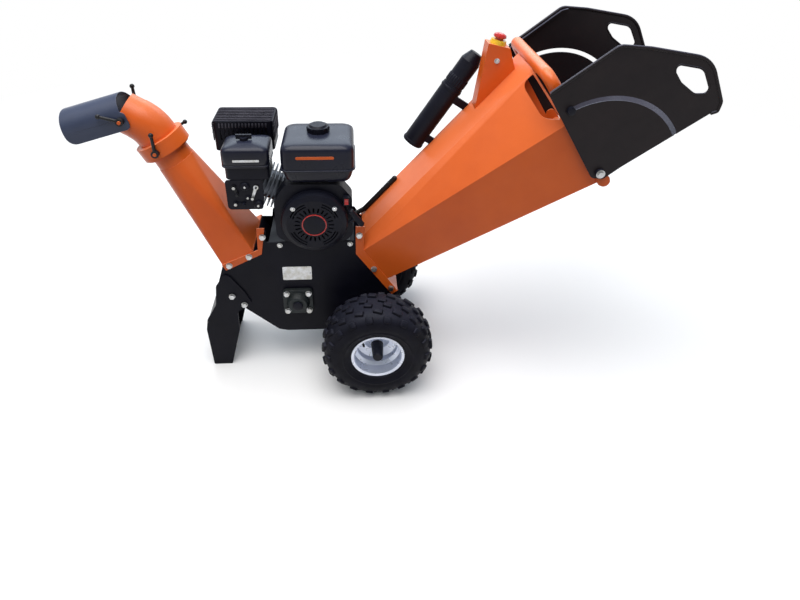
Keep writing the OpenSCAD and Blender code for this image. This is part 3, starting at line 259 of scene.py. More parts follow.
FINISH = {
    # The pale layer on upward faces is partly settled dust and partly a painted whitish sheen of the sky light.
    "orange_paint": finish("orange powder coat", "#dc611e", "#ce5619", 4.0, "#f2c09a", 0.34, (0.3, 0.42),
                           800, 0.00005, coat=0.06, specular=0.32),
    "black_paint": finish("black powder coat", "#090912", "#0d0d18", 7.0, "#292936", 0.18, (0.36, 0.5),
                          900, 0.00006, specular=0.11),
    # The blue-grey layer on upward faces, the tray floor and the tops of the rolled edges, is a painted sheen of the
    # sky light.
    "tray_paint": finish("charcoal texture coat", "#171114", "#1f181a", 9.0, "#858aa2", 0.4, (0.40, 0.55),
                         1300, 0.00010, specular=0.2),
    # The blue-grey layer on upward faces is a painted sheen of the sky light.
    "hood_paint": finish("slate powder coat", "#2a3146", "#333b51", 8.0, "#6b7690", 0.30, (0.3, 0.42),
                         900, 0.00006, specular=0.4),
    # The blue-grey layer on the upward tread is mostly a painted sheen of the sky light, with a little dust.
    "tyre_rubber": finish("tyre rubber", "#0a0a12", "#10101a", 18.0, "#565a6c", 0.24, (0.42, 0.62),
                          900, 0.00012, specular=0.1),
    "belt_rubber": finish("cable and belt rubber", "#0f0f12", "#18181c", 20.0, "#44423e", 0.22, (0.46, 0.66),
                          1100, 0.00005, specular=0.3),
    "rim_paint": finish("silver wheel paint", "#e2e7f4", "#d0d6e4", 12.0, "#857f78", 0.1, (0.24, 0.38),
                        1200, 0.00003, metallic=0.6),
    "bare_steel": finish("zinc plated steel", "#c3c5c8", "#a9a8a2", 60.0, "#8c867a", 0.2, (0.24, 0.42),
                         900, 0.00002, metallic=1.0),
    "knife_steel": finish("ground tool steel", "#b5b7bb", "#96989d", 40.0, "#77716a", 0.2, (0.2, 0.38),
                          1500, 0.00003, metallic=1.0),
    "dark_steel": finish("heat-darkened steel", "#4c4b54", "#303038", 14.0, "#62606a", 0.3, (0.42, 0.62),
                         500, 0.00010, metallic=0.8),
    "cast_iron": finish("painted cast iron", "#12191a", "#1d2427", 30.0, "#4c4d4b", 0.22, (0.36, 0.54),
                        420, 0.00025, specular=0.3),
    "cast_aluminium": finish("cast aluminium", "#5c6068", "#484c54", 26.0, "#57534c", 0.25, (0.36, 0.55),
                             480, 0.00018, metallic=0.8),
    # The blue-grey layer on upward faces, as on the tank top, is a painted sheen of the sky light.
    "engine_black": finish("engine enamel", "#11121f", "#161828", 6.0, "#4a5166", 0.24, (0.26, 0.34),
                           600, 0.000012, coat=0.05, specular=0.2),
    "black_plastic": finish("moulded black plastic", "#0c0c16", "#12131e", 12.0, "#3d4252", 0.22, (0.34, 0.48),
                            1500, 0.00007, specular=0.15),
    "lever_plastic": finish("lever plastic", "#0d0d11", "#15151a", 16.0, "#3d3f47", 0.2, (0.32, 0.46),
                            1200, 0.00005, specular=0.28),
    "yellow_plastic": finish("yellow plastic", "#e8c02a", "#d8ac1c", 16.0, "#a08a4a", 0.12, (0.26, 0.38),
                             900, 0.00002, coat=0.2),
    "red_plastic": finish("red plastic", "#c3201c", "#a81a18", 16.0, "#93655c", 0.12, (0.22, 0.34),
                          900, 0.00002, coat=0.3),
}
print("finishes:", len(FINISH))

# %% [markdown]
# ## Dressing the solids
#
# Every solid of the frame takes the finish of its material slot. Sheet metal and castings
# have broken edges that catch the light, so a narrow bevel is laid over the solids that
# have crisp corners. It is a modifier, so the solid itself stays as it is. A few engine pieces
# are darker than the rest of their slot and borrow another finish.

# %%
slots = {part["node"]: part["material_slot"] for part in frame["record"]["subparts"]}
BEVEL_MM = {
    "hopper": 1.2, "stop_box": 1.0, "side_plate_near": 0.9, "side_plate_far": 0.9, "front_leg": 1.0,
    "tray_near": 0.8, "tray_far": 0.8, "tray_floor": 0.8, "chute": 0.7, "deflector_hood": 0.6,
    "engine_deck": 0.8, "crankcase": 1.2, "cylinder_block": 0.7, "filter_base": 1.0, "blower_cover": 1.2,
    "control_plate": 0.6, "muffler": 1.0, "belt_guard": 1.2, "bearing_units": 1.0, "carburettor": 1.0,
    "frame_bolts": 0.6,
}
DARKER = {"blower_cover": "black_plastic", "recoil_cover": "black_plastic", "control_plate": "black_plastic",
          "choke_lever": "lever_plastic", "crankcase": "cast_iron"}
WELD_MM = 0.02
CRISP_DEGREES = 38


def soften(node, width):
    """Rounds the crisp edges of a solid by a modifier."""
    weld = node.modifiers.new("join", "WELD")
    weld.merge_threshold = WELD_MM * MM
    bevel = node.modifiers.new("edges", "BEVEL")
    bevel.width = width
    bevel.segments = 2
    bevel.limit_method = "ANGLE"
    bevel.angle_limit = math.radians(CRISP_DEGREES)
    bevel.use_clamp_overlap = True
    bevel.harden_normals = False
    normals = node.modifiers.new("normals", "WEIGHTED_NORMAL")
    normals.keep_sharp = False


for name, node in nodes.items():
    node.data.materials.clear()
    node.data.materials.append(FINISH[DARKER.get(name, slots[name])])
    if name in BEVEL_MM:
        soften(node, BEVEL_MM[name] * MM)
print("dressed", len(nodes), "solids,", len(BEVEL_MM), "with rounded edges")

# %% [markdown]
# ## Helpers for new pieces
#
# Every new piece is a skin over a grid of points, worked out as one numpy array: the first index
# counts rings, the second counts points round a ring. `Shape` gathers such skins in one mesh.
# `piece` turns them into an object, gives it a finish and lets it ride on a body of the frame.

# %%
NEAR, FAR = np.array((0.0, -1.0, 0.0)), np.array((0.0, 1.0, 0.0))
SKY, FEED = np.array((0.0, 0.0, 1.0)), np.array((1.0, 0.0, 0.0))


class Shape:
    """Points and faces of one or more closed forms, gathered from grids."""

    def __init__(self):
        self.points, self.faces, self.count = [], [], 0

    def skin(self, grid, around=False):
        """Quads between neighbours on a grid [ring, point, xyz], each ring closed. With around the
        last ring meets the first, otherwise the two end rings are capped."""
        rings, n = grid.shape[:2]
        index = self.count + np.arange(rings * n).reshape(rings, n)
        lower, upper = (index, np.roll(index, -1, 0)) if around else (index[:-1], index[1:])
        quads = np.stack([lower, np.roll(lower, -1, 1), np.roll(upper, -1, 1), upper], -1)
        self.faces += quads.reshape(-1, 4).tolist()
        if not around:
            self.faces += [index[0, ::-1].tolist(), index[-1].tolist()]
        self.points.append(grid.reshape(-1, 3))
        self.count += rings * n


def piece(name, shape, slot, body, smooth=35):
    """Object from a shape, with the finish of a slot, riding on a body."""
    mesh = bpy.data.meshes.new(name)
    mesh.from_pydata(np.vstack(shape.points), [], shape.faces)
    work = bmesh.new()
    work.from_mesh(mesh)
    bmesh.ops.recalc_face_normals(work, faces=work.faces)
    work.to_mesh(mesh)
    work.free()
    mesh.shade_smooth()
    mesh.set_sharp_from_angle(angle=math.radians(smooth))
    mesh.materials.append(FINISH[slot])
    obj = bpy.data.objects.new(name, mesh)
    bpy.context.scene.collection.objects.link(obj)
    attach(obj, body)
    print(name, len(mesh.vertices), "points on", body)
    return obj


def box(node):
    """Lowest and highest corner of a solid, as arrays in metres."""
    return [np.array(corner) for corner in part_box(node)]


def at_joint(name):
    """Where a joint sits, in metres."""
    return np.array(joints[name]["pos_m"])


# %% [markdown]
# ### Turned, flat and lofted forms
#
# Most fittings are one of four forms. A turned form carries a profile round an axis, a plate has
# an outline and a chamfered edge, a loft climbs through rounded rectangles, and a bar carries a
# circle along a path. Profiles, outlines and radii are in millimetres.

# %%
def unit(v):
    """Vectors of length 1: v / |v|."""
    return v / np.linalg.norm(v, axis=-1, keepdims=True)


def circle(count):
    """Turns from 0 to a full turn, without the last."""
    return np.linspace(0, 2 * np.pi, count, endpoint=False)


def square_to(axis):
    """Two directions square to an axis and to each other."""
    helper = SKY if abs(axis[2]) < 0.9 else FEED
    side = unit(np.cross(helper, axis))
    return side, np.cross(axis, side)


def lathe(centre, axis, profile, count=32):
    """Grid of a turned form: centre + (side cos t + other sin t) r + axis h, for [r, h] and turn t."""
    side, other = square_to(axis)
    t = circle(count)[:, None]
    spokes = np.cos(t) * side + np.sin(t) * other
    r, h = np.array(profile, float).T[:, :, None, None]
    return centre + (np.maximum(r, 0.01) * spokes + h * axis) * MM


def hoop(centre, axis, profile, count=32):
    """Grid of a closed ring: a lathe whose profile is a closed loop."""
    return lathe(centre, axis, profile, count).swapaxes(0, 1)


def rounded_box(w, h, r, n=6):
    """Rectangle with round corners: each corner's centre plus a quarter turn of radius r."""
    a = np.pi / 2 * (np.arange(4)[:, None] + np.linspace(0, 1, n + 1))
    centres = np.array([(1, 1), (-1, 1), (-1, -1), (1, -1)])[:, None] * (w / 2 - r, h / 2 - r)
    return (centres + r * np.stack([np.cos(a), np.sin(a)], -1)).reshape(-1, 2)


def plate(centre, across, upward, outline, thick, edge=0.3):
    """Grid of a flat plate: the outline at its back, at its chamfer, and drawn in at its front."""
    flat = outline[:, :1] * across + outline[:, 1:] * upward
    levels = np.array([(1, 0), (1, thick - edge), (1 - edge / abs(outline[:, 0]).max(), thick)])
    k, h = levels.T[:, :, None, None]
    return centre + (k * flat + h * np.cross(across, upward)) * MM


def loft(foot, sections, n=8):
    """Grid of level rounded rectangles: [height, half length, half width, corner radius]."""
    return foot + MM * np.stack([np.column_stack([rounded_box(2 * a, 2 * b, r, n), np.full(4 * n + 4, z)])
                                 for z, a, b, r in sections])


def filleted(corners, closed=False, n=6):
    """Path through [x, z, r]; at a corner, the arc of radius r that touches both straight runs."""
    points, path = np.array(corners, float), []
    for i, (p, r) in enumerate(zip(points[:, :2], points[:, 2])):
        if not closed and i in (0, len(points) - 1):
            path.append(p[None])
            continue
        back, ahead = (unit(points[j % len(points), :2] - p) for j in (i - 1, i + 1))
        half = np.arccos(back @ ahead) / 2
        centre = p + unit(back + ahead) * r / np.sin(half)
        v0, v1 = (p + d * r / np.tan(half) - centre for d in (back, ahead))
        arc, k = np.pi - 2 * half, np.linspace(0, 1, n + 1)[:, None]
        path.append(centre + (v0 * np.sin((1 - k) * arc) + v1 * np.sin(k * arc)) / np.sin(arc))
    return np.vstack(path)


def bar(path, radius, count=10, closed=False):
    """Grid of a round bar: path + (side cos t + FAR sin t) r, for a path in one level of Y."""
    before, after = np.roll(path, 1, 0), np.roll(path, -1, 0)
    if not closed:
        before[0], after[-1] = path[0], path[-1]
    side = unit(np.cross(after - before, FAR))[:, None]
    t = circle(count)[:, None]
    return path[:, None] + (side * np.cos(t) + FAR * np.sin(t)) * radius * MM


# %% [markdown]
# ## Tyres
#
# The wheels carry low-pressure off-road tyres. A tyre is a rounded carcass with rows of raised
# rubber blocks: two staggered rows on the tread and a row of smaller blocks over each shoulder.
# The carcass is a turned profile with two ridges near the bead. Each block is a short frustum
# that stands on the carcass along its normal, sunk a little so that the two skins meet. The
# block tops reach the tyre's outside diameter and no further.

# %%
LUG_H = 7.0
BEAD_R = 79.4
BLOCK_TOP_MARGIN = 0.6
BLOCKS = 18
# Each row: way from the tread's middle, shift in blocks, half size, share of the height, lean in degrees
BLOCK_ROWS = [(12.0, 0.0, (13.0, 8.5), 1.0, 16), (37.0, 0.5, (14.0, 9.0), 1.0, 16),
              (62.0, 0.0, (11.0, 10.0), 0.7, 0)]
SIDE_SHIFT = 0.25


def smooth_path(points, steps=6):
    """Catmull-Rom curve through points: with neighbours a, b, c, d and t from 0 to 1 it runs from b to c as
    (2b + (c - a) t + (2a - 5b + 4c - d) t^2 + (3b - a - 3c + d) t^3) / 2."""
    p = np.array(points, float)
    p = np.vstack([2 * p[0] - p[1], p, 2 * p[-1] - p[-2]])
    a, b, c, d = (q[:, None] for q in (p[:-3], p[1:-2], p[2:-1], p[3:]))
    t = np.linspace(0, 1, steps, endpoint=False)[:, None]
    curve = 0.5 * (2 * b + (c - a) * t + (2 * a - 5 * b + 4 * c - d) * t ** 2
                   + (3 * b - a - 3 * c + d) * t ** 3)
    return np.vstack([curve.reshape(-1, 2), p[-2]])


def carcass_half(radius, half):
    """Outer profile of a tyre from the middle of the tread to the bead: [radius, side]."""
    crown = radius - LUG_H - BLOCK_TOP_MARGIN
    h = crown - BEAD_R
    return smooth_path([
        (crown, 0), (crown - 0.6, 0.3 * half), (crown - 4, 0.58 * half), (crown - 13, 0.8 * half),
        (crown - 27, 0.93 * half), (BEAD_R + 0.5 * h, 0.985 * half), (BEAD_R + 0.36 * h, 0.97 * half),
        (BEAD_R + 0.31 * h, 0.985 * half), (BEAD_R + 0.26 * h, 0.95 * half), (BEAD_R + 0.13 * h, 0.87 * half),
        (BEAD_R + 0.09 * h, 0.87 * half), (BEAD_R + 0.05 * h, 0.82 * half), (BEAD_R, 0.77 * half)])


def blocks(place, out, along, across, size, rise):
    """Grids of rubber blocks [block, ring, point, xyz]: a rounded outline that narrows as it rises."""
    u, v = rounded_box(2 * size[0], 2 * size[1], 0.42 * min(size), 3).T[:, :, None]
    levels = np.array([(-3, 1.14), (0.55 * rise, 1.0), (0.86 * rise, 0.95), (rise, 0.82)])
    h, k = levels.T[:, None, :, None, None]
    flat = along[:, None, None] * u + across[:, None, None] * v
    return place[:, None, None] + (flat * k + out[:, None, None] * h) * MM


def tyre(name, node, body, spin):
    """Carcass and blocks around a solid tyre, in its place; spin is 1 or -1, the way the blocks lean."""
    low, high = box(node)
    centre = (low + high) / 2
    radius, half = (high - low)[2] / 2 / MM, (high - low)[1] / 2 / MM
    outer = carcass_half(radius, half)
    inner = [(BEAD_R, -0.58 * half), (BEAD_R + 40, -0.84 * half), (radius - 22, -0.6 * half),
             (radius - 22, 0.6 * half), (BEAD_R + 40, 0.84 * half), (BEAD_R, 0.58 * half)]
    shape = Shape()
    shape.skin(hoop(centre, FAR, np.vstack([outer[::-1], outer[1:] * (1, -1), inner]), 96), around=True)

    slopes = unit(np.gradient(outer, axis=0))
    reach = np.concatenate([[0], np.cumsum(np.linalg.norm(np.diff(outer, axis=0), axis=1))])
    for side in (-1, 1):
        for at, shift, size, share, lean in BLOCK_ROWS:
            i = int(np.argmin(abs(reach - at)))
            t = circle(BLOCKS)[:, None] + 2 * np.pi * (shift + (SIDE_SHIFT if side > 0 else 0)) / BLOCKS
            spokes = np.cos(t) * FEED + np.sin(t) * SKY
            along = np.cos(t) * SKY - np.sin(t) * FEED
            across = spokes * slopes[i, 0] + FAR * slopes[i, 1] * side
            out = spokes * slopes[i, 1] - FAR * slopes[i, 0] * side
            c, s = math.cos(math.radians(lean)), math.sin(math.radians(lean)) * side * spin
            place = centre + (spokes * outer[i, 0] + FAR * outer[i, 1] * side) * MM
            for grid in blocks(place, out, along * c + across * s, across * c - along * s, size, LUG_H * share):
                shape.skin(grid)
    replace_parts(piece(name, shape, "tyre_rubber", body, 40), node)


tyre("tyre_with_blocks_near", "tyre_near", "wheel_near", 1)
tyre("tyre_with_blocks_far", "tyre_far", "wheel_far", -1)

# %% [markdown]
# ## Valve stems
#
# A rubber valve with a small cap stands in each rim's outer step. It leans outwards, so that a
# pump can reach it.

# %%
VALVE_ANGLE, VALVE_R, VALVE_OUT = 148, 62, 7
VALVE_LEAN = 0.35


def ray(degrees):
    """Direction in the side view, from the feed end upwards."""
    return FEED * math.cos(math.radians(degrees)) + SKY * math.sin(math.radians(degrees))


def valve(name, body, side):
    """Rubber stem and its cap in a rim, leaning outwards."""
    foot = at_joint(body + "_spin") + (ray(VALVE_ANGLE) * VALVE_R + side * VALVE_OUT) * MM
    lean = unit(side - ray(VALVE_ANGLE) * VALVE_LEAN)
    stem = Shape()
    stem.skin(lathe(foot - lean * 2 * MM, lean, [(0, 0), (7, 0), (7, 3), (4.6, 7), (4, 20), (0, 20)], 24))
    stem.skin(lathe(foot + lean * 17 * MM, lean, [(0, 0), (3, 0), (3, 9), (3.8, 9.5), (3.8, 16), (2.8, 17.5),
                                                  (0, 17.5)], 20))
    piece(name, stem, "belt_rubber", body)


valve("valve_stem_near", "wheel_near", NEAR)
valve("valve_stem_far", "wheel_far", FAR)

# %% [markdown]
# ## Fuel tank
#
# The tank is two pressed steel shells, joined at a level seam with a narrow flange. Each shell
# has deep round corners and the upper one a nearly flat top. It is lofted through level rounded
# rectangles, so the corners stay round up to the top. A plain orange bar lies on its front.

# %%
NECK_FROM = 110
TANK_BAR_DEPTH = 94.2
cap = at_joint("fuel_cap_turn")
tank_low, tank_high = box("fuel_tank")
tank_foot = (tank_low + tank_high) / 2 * (1, 1, 0) + tank_low * SKY

tank = Shape()
tank.skin(loft(tank_foot, [
    (0, 84, 75, 18), (1.5, 88, 79, 20), (6, 92, 83, 22), (16, 96, 87, 24), (32, 100, 91, 25),
    (39.5, 101.5, 92.5, 25),
    (40, 106, 97, 27), (41, 107, 98, 28), (44, 107, 98, 28), (45, 106, 97, 27), (45.5, 103.5, 94.5, 25),
    (62, 104, 95, 25), (94, 103.7, 94.7, 25), (102, 102.6, 93.6, 25), (107.5, 100.2, 91.2, 25),
    (111.5, 96.6, 87.6, 25), (114.4, 91.5, 82.5, 25), (116.2, 85, 76, 24), (117.2, 76, 67, 23), (118, 52, 44, 22)]))
neck_foot = cap * (1, 1, 0) + (tank_low + NECK_FROM * MM) * SKY
tank.skin(lathe(neck_foot, SKY, [(0, 0), (22, 0), (22, 18), (0, 18)]))
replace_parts(piece("tank_shells", tank, "engine_black", "frame", 50), "fuel_tank")

tank_bar_spot = np.array((-0.1776, tank_foot[1] - TANK_BAR_DEPTH * MM, 0.806))
tank_bar = Shape()
tank_bar.skin(plate(tank_bar_spot, FEED, SKY, rounded_box(107, 8.5, 4), 1.4))
piece("tank_bar", tank_bar, "orange_paint", "frame")

# %% [markdown]
# ## Air filter cover
#
# A moulded plastic box with a gently sloping lid, held by the wing knob in its middle. It is
# lofted in the same way as the tank. A pale metal strip lies on its front.

# %%
FILTER_BAR_DEPTH = 55.5
filter_low, filter_high = box("filter_cover")
filter_foot = (filter_low + filter_high) / 2 * (1, 1, 0) + filter_low * SKY

cover = Shape()
cover.skin(loft(filter_foot, [
    (0, 66, 55, 18), (1.5, 67, 56, 18), (6, 67, 56, 18), (7, 65.5, 54.5, 17), (9, 65.5, 54.5, 17),
    (10, 66.6, 55.6, 18), (42, 66.4, 55.4, 18), (48.5, 65.4, 54.4, 18), (53, 63, 52, 18),
    (55.8, 59.5, 48.5, 18), (57.6, 55, 44, 17), (60.6, 42, 33, 16), (63, 30, 24, 14), (63.8, 20, 16, 10)]))
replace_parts(piece("filter_lid", cover, "engine_black", "frame", 50), "filter_cover")

filter_bar_spot = np.array((-0.368, filter_foot[1] - FILTER_BAR_DEPTH * MM, 0.799))
filter_bar = Shape()
filter_bar.skin(plate(filter_bar_spot, FEED, SKY, rounded_box(73, 7, 1.5), 1.2))
piece("filter_bar", filter_bar, "bare_steel", "frame")

# %% [markdown]
# ## Muffler guard wires
#
# The guard is a slotted steel box. Bent wires run over it from side to side and keep hands off
# the hot steel between the slots. Each wire is a round bar on a path with two round corners. A
# row of small pressed louvres lets air through the upper edge of its front.

# %%
WIRES, WIRE_R, WIRE_OUT, WIRE_DROP = 9, 1.9, 1.2, 61
LOUVRES = 15
(x0, y0, _), (x1, y1, z1) = np.array(box("muffler_guard")) / MM
low_x, high_x, top, reach = x0 - WIRE_OUT, x1 + WIRE_OUT, z1 + WIRE_OUT, y1 - y0 - 4
wire_end = z1 - WIRE_DROP
wires = Shape()
for y in np.linspace(y0 + 8, y1 - 8, WIRES):
    x, z = filleted([(low_x, wire_end, 0), (low_x, top, 10), (high_x, top, 10), (high_x, wire_end, 0)]).T
    wires.skin(bar(np.column_stack([x, np.full_like(x, y), z]) * MM, WIRE_R, 8))
for drop in (15, 33):
    for x in (low_x, high_x):
        wires.skin(lathe(np.array((x, y0 + 2, z1 - drop)) * MM, FAR, [(0, 0), (1.6, 0), (1.6, reach), (0, reach)], 8))
for x in np.linspace(x0 + 20, x1 - 20, LOUVRES):
    wires.skin(plate(np.array((x, y0 + 0.4, z1 - 12)) * MM, FEED, SKY, rounded_box(5.4, 15, 2.4, 3), 2.4, 1.2))
piece("guard_wires", wires, "dark_steel", "frame")

# %% [markdown]
# ## Starter cover
#
# The cover carries a round black badge with a red rim at its hub. Both are turned forms.

# %%
crank = at_joint("crank_spin")
hub_face = crank * (1, 0, 1) + box("recoil_cover")[0] * FAR

rim_ring = Shape()
rim_ring.skin(hoop(hub_face, NEAR, [(33.5, -0.5), (37, -0.5), (37, 1.6), (36, 2.4), (34.5, 2.4),
                                    (33.5, 1.6)], 64), around=True)
piece("starter_badge_rim", rim_ring, "red_plastic", "frame")

badge = Shape()
badge.skin(lathe(hub_face - NEAR * 0.5 * MM, NEAR, [(0, 0), (33.4, 0), (33.4, 1.6), (32, 2.0), (0, 2.4)], 64))
piece("starter_badge", badge, "black_plastic", "frame")

# %% [markdown]
# ## Bolts and screws
#
# Small hex heads with washers: on the starter cover, on the side plate beside the engine, on the
# tray's hinge, on the stop box and around the belt guard. A head is a six-sided turned form with
# a domed top.

# %%
HEX_SIDES = 6
STARTER_BOLT_R = 82.5
PLATE_BOLT_X, PLATE_BOLT_Z = (-0.301, -0.084), 0.492
STOP_SCREW_X, STOP_SCREW_Z = 0.3435, 1.0366
MIDDLE_SHARE = 0.55
plate_face = box("side_plate_near")[0][1]
guard_face = box("belt_guard")[1][1]
hinge, rotor = at_joint("tray_fold"), at_joint("rotor_spin")
hinge_low, hinge_high = box("hinge_tube")


def bolt(shape, foot, axis, r, height):
    """Hex head with a washer and a domed top."""
    shape.skin(lathe(foot, axis, [(0, 0), (r * 1.25, 0), (r * 1.3, height * 0.16), (0, height * 0.16)], 28))
    shape.skin(lathe(foot + axis * height * 0.1 * MM, axis,
                     [(0, 0), (r, 0), (r, height * 0.7), (r * 0.86, height * 0.86), (0, height * 0.9)], HEX_SIDES))


bolts = Shape()
for angle in (42, 137):
    bolt(bolts, hub_face + (ray(angle) * STARTER_BOLT_R + FAR * 0.4) * MM, NEAR, 5.5, 6)
for x in PLATE_BOLT_X:
    bolt(bolts, np.array((x, plate_face + 0.1 * MM, PLATE_BOLT_Z)), NEAR, 6.5, 7)
for side, y in ((NEAR, hinge_low[1]), (FAR, hinge_high[1])):
    bolt(bolts, hinge * (1, 0, 1) + FAR * y - side * 0.2 * MM, side, 9.6, 7)
bolt(bolts, np.array((STOP_SCREW_X, box("stop_box")[0][1] + 0.1 * MM, STOP_SCREW_Z)), NEAR, 6, 6)
middle = rotor + (crank - rotor) * MIDDLE_SHARE
for spot, angle, away in ((crank, 38, 58), (crank, 150, 58), (rotor, -30, 66), (rotor, -118, 66),
                          (rotor, 160, 66), (middle, 160, 52)):
    bolt(bolts, (spot + ray(angle) * away * MM) * (1, 0, 1) + FAR * (guard_face - 0.1 * MM), FAR, 5.5, 6)
piece("small_bolts", bolts, "bare_steel", "frame", 30)

# %% [markdown]
# ## Caps on the tray's pivots
#
# Black plastic caps cover the tray's hinge ends and the guide bolts in its curved slots, and
# one covers the end of the rotor shaft.

# %%
SLOT_ANGLE, SLOT_R = 122, 216
caps = Shape()
for side, y in ((NEAR, hinge_low[1]), (FAR, hinge_high[1])):
    caps.skin(hoop(hinge * (1, 0, 1) + FAR * y, side,
                   [(10, 0.05), (12.9, 0.05), (13.4, -0.6), (13.4, -8.2), (12.3, -8.2), (12.3, -0.4), (10, -0.4)],
                   40), around=True)
slot_end = hinge + ray(SLOT_ANGLE) * SLOT_R * MM
for side, y in ((NEAR, box("tray_near")[0][1]), (FAR, box("tray_far")[1][1])):
    caps.skin(lathe(slot_end * (1, 0, 1) + FAR * y + side * 1.2 * MM, side,
                    [(0, 0), (11.6, 0), (11.6, 6), (10.8, 8.6), (8, 10), (0, 10.4)], 40))
piece("tray_pivot_caps", caps, "black_plastic", "frame", 40)

shaft_cap = Shape()
shaft_cap.skin(lathe(rotor * (1, 0, 1) + box("rotor_shaft")[0] * FAR - NEAR * 2 * MM, NEAR,
                     [(0, 0), (16, 0), (17, 1.2), (16.5, 4), (13, 5.6), (0, 6)], 40))
piece("shaft_end_cap", shaft_cap, "black_plastic", "rotor")

# %% [markdown]
# ## Control plate
#
# Under the air filter sits the plate with the throttle, choke and fuel levers. Moulded bosses
# stand on it clear of the levers' sweep, with a bright screw in each, and bright nuts close the
# pins of the choke and fuel levers.

# %%
SCREW = [(0, 0), (3.4, 0), (3.4, 1.4), (2.4, 2.4), (0, 2.6)]
# Each boss: place from the throttle's pin along the feed and upwards, radius and height
BOSSES = [(-31, 2, 13, 7), (2, -58, 13, 9), (-26, -34, 7, 5)]
lever_back, pin_end = box("throttle_lever")[1][1], box("control_plate")[0][1]
throttle = at_joint("throttle_turn") * (1, 0, 1)

bosses, screws = Shape(), Shape()
for dx, dz, r, h in BOSSES:
    foot = throttle + FAR * (lever_back + 0.3 * MM) + (FEED * dx + SKY * dz) * MM
    bosses.skin(lathe(foot, NEAR, [(0, -1), (r, -1), (r, h - 3), (r - 1.2, h - 1), (r - 3, h), (0, h)], 36))
    screws.skin(lathe(foot + NEAR * (h - 0.3) * MM, NEAR, SCREW, 20))
for lever in ("choke_turn", "fuel_turn"):
    foot = at_joint(lever) * (1, 0, 1) + FAR * (pin_end + 0.6 * MM)
    screws.skin(lathe(foot, NEAR, np.array(SCREW) * (1.5, 1), HEX_SIDES))
piece("control_bosses", bosses, "black_plastic", "frame", 40)
piece("control_screws", screws, "bare_steel", "frame", 30)

# %% [markdown]
# ## Rating plate
#
# A bare metal plate with two rivets on the side plate.

# %%
RIVET_OUT = 41
rating_spot = np.array((-0.254, plate_face + 0.1 * MM, 0.383))
rating_plate = Shape()
rating_plate.skin(plate(rating_spot, FEED, SKY, rounded_box(92, 52, 4), 0.9))
for u in (-RIVET_OUT, RIVET_OUT):
    rating_plate.skin(lathe(rating_spot + FEED * u * MM, NEAR,
                            [(0, 0), (2.4, 0), (2.4, 1.6), (1.4, 2.3), (0, 2.5)], 16))
piece("rating_plate", rating_plate, "bare_steel", "frame")

# %% [markdown]
# ## Rolled edges of the feed tray
#
# The tray's side panels are bent sheet. Their free edge and the hand hole are rolled over, so
# that nobody grips a sharp edge. Each roll is a round bar along the panel's outline, given here
# by the same corners and radii from the hinge as the panel itself.

# %%
EDGE = [(-172, 229.5, 0), (-19, 350, 30), (60, 344.5, 40), (224, 318.7, 85), (284.7, 204, 20), (282, 178, 6),
        (266, 172.4, 0)]
HAND = [(133, 306, 12), (138, 282, 10), (160, 255, 30), (204, 225, 26), (251, 226, 14), (212, 293, 34)]
EDGE_R, HAND_R = 4.8, 3.0
PANEL_T = 3.0

for label, outer in (("near", -1), ("far", 1)):
    low, high = box("tray_" + label)
    middle_y = (low if outer < 0 else high)[1] - outer * PANEL_T / 2 * MM
    roll = Shape()
    for corners, radius, closed in ((EDGE, EDGE_R, False), (HAND, HAND_R, True)):
        x, z = filleted(corners, closed, 8).T * MM
        path = np.column_stack([hinge[0] + x, np.full_like(x, middle_y), hinge[2] + z])
        roll.skin(bar(path, radius, 12, closed), around=closed)
    # The tray coat lays a painted blue-grey sheen of the sky light on the upward side of each roll.
    piece("tray_roll_" + label, roll, "tray_paint", "tray")

# %% [markdown]
# ## Document tube grips
#
# The lid of the document tube has a ribbed band to twist it by, and the tube a collar where the
# lid meets it. The band is a ring whose radius rises and falls twenty-four times:
# r = band + rib (1 + cos(24 t)) / 2 for the turn t.

# %%
RIBS = 24
BAND_R, RIB_H = 31.2, 1.6
lid_axis, lid_foot = np.array(joints["tube_lid_turn"]["axis"]), at_joint("tube_lid_turn")
lid_vertices = nodes["tube_lid"].data.vertices
lid_points = np.empty(3 * len(lid_vertices))
lid_vertices.foreach_get("co", lid_points)
lid_start = ((lid_points.reshape(-1, 3) - lid_foot) @ lid_axis).min() / MM

side, other = square_to(lid_axis)
t = circle(8 * RIBS)[:, None]
h, grow = np.array([(4, 0.0), (6, RIB_H), (30, RIB_H), (32, 0.0)]).T[:, :, None, None]
wave = BAND_R + grow * (0.5 + 0.5 * np.cos(RIBS * t))
band = Shape()
band.skin(lid_foot + (lid_axis * (lid_start + h) + (side * np.cos(t) + other * np.sin(t)) * wave) * MM)
piece("lid_band", band, "black_plastic", "tube_lid", 50)

tube_rings = Shape()
for along in (6, lid_start - 12):
    tube_rings.skin(hoop(lid_foot + lid_axis * along * MM, lid_axis,
                         [(32, -4), (34.2, -3.2), (34.8, -1), (34.8, 3), (34, 5), (32, 5.6)], 56), around=True)
piece("tube_rings", tube_rings, "black_plastic", "frame")

# %% [markdown]
# ## Floor and studio light
#
# A pale floor, a wide soft light from above and a large cool panel behind give broad
# highlights on the upward faces, as on an overcast day, while the sides stay dark. Around the
# machine the floor keeps its shadow; further out it turns into the plain white of the backdrop.

# %%
FLOOR_SIZE = 600
SHADOW_REACH, BACKDROP_FROM = 1.3, 3.6
BACKDROP_TOP = 0.45
AIR_TINT, AIR_STRENGTH = (0.84, 0.91, 1.0, 1), 0.3
WARM, COOL = (1.0, 0.98, 0.96), (0.80, 0.90, 1.0)


def seen_directly(tree):
    """1 for rays from the camera, in reflections and through glass, 0 for soft light."""
    kinds = add(tree, "ShaderNodeLightPath").outputs
    direct = kinds["Is Camera Ray"]
    for kind in ("Is Glossy Ray", "Is Transmission Ray"):
        direct = add(tree, "ShaderNodeMath", {0: direct, 1: kinds[kind]}, operation="MAXIMUM").outputs[0]
    return direct


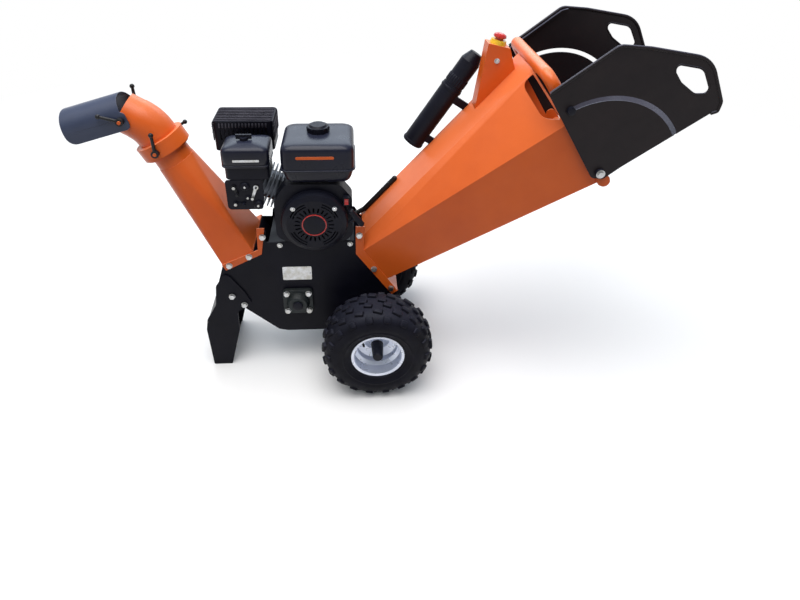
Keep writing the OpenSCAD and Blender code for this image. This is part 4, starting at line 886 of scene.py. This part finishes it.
def pale_floor():
    """Near white to the camera and in reflections; to soft light it is a grey that throws little back."""
    material = bpy.data.materials.new("pale floor")
    material.use_nodes = True
    tree = material.node_tree
    shader = tree.nodes["Principled BSDF"]
    place = add(tree, "ShaderNodeTexCoord").outputs["Object"]
    direct = seen_directly(tree)
    pale = mixed(tree, noise(tree, place, 1.5, 3.0), linear("#f4f4f4"), linear("#fafafa"))
    tree.links.new(mixed(tree, direct, linear("#9a9a9a"), pale), shader.inputs["Base Color"])
    shader.inputs["Roughness"].default_value = 0.9
    away = add(tree, "ShaderNodeVectorMath", {0: place}, operation="LENGTH").outputs["Value"]
    backdrop = add(tree, "ShaderNodeEmission", {"Color": linear("#ffffff"), "Strength": 1.0}).outputs[0]
    far_out = times(tree, direct, span(tree, away, SHADOW_REACH, BACKDROP_FROM))
    blend = add(tree, "ShaderNodeMixShader", {0: far_out, 1: shader.outputs[0], 2: backdrop})
    tree.links.new(blend.outputs[0], tree.nodes["Material Output"].inputs["Surface"])
    return material


bpy.ops.mesh.primitive_plane_add(size=FLOOR_SIZE)
floor = bpy.context.object
floor.name = "floor"
floor.data.materials.append(pale_floor())

world = bpy.data.worlds.new("studio")
bpy.context.scene.world = world
world.use_nodes = True
air = world.node_tree
way = add(air, "ShaderNodeTexCoord").outputs["Generated"]
height = add(air, "ShaderNodeSeparateXYZ", {0: way}).outputs["Z"]
white = times(air, seen_directly(air), span(air, height, 0.0, BACKDROP_TOP, 1.0, 0.0))
background = air.nodes["Background"].inputs
air.links.new(mixed(air, white, AIR_TINT, (1, 1, 1, 1)), background["Color"])
air.links.new(span(air, white, 0.0, 1.0, AIR_STRENGTH, 1.0), background["Strength"])


def light(name, kind, spot, target, power, colour):
    """A lamp at a spot, turned to a target."""
    data = bpy.data.lights.new(name, kind)
    data.energy = power
    data.color = colour
    obj = bpy.data.objects.new(name, data)
    bpy.context.scene.collection.objects.link(obj)
    obj.location = spot
    obj.rotation_euler = (Vector(target) - Vector(spot)).to_track_quat("-Z", "Y").to_euler()
    return data


sky = light("sky", "SUN", (-0.7, -0.5, 4.0), (0, 0, 0.5), 1.6, WARM)
sky.angle = math.radians(70)
top_light = light("top_light", "AREA", (-0.4, -0.3, 3.1), (0, 0, 0.5), 66, WARM)
top_light.shape = "RECTANGLE"
top_light.size, top_light.size_y = 2.8, 2.0
panel = light("back_panel", "AREA", (0.1, 4.6, 3.7), (0, 0, 0.6), 150, COOL)
panel.shape = "RECTANGLE"
panel.size, panel.size_y = 6.4, 2.6

bpy.context.scene.view_settings.view_transform = "Standard"
print("studio ready")
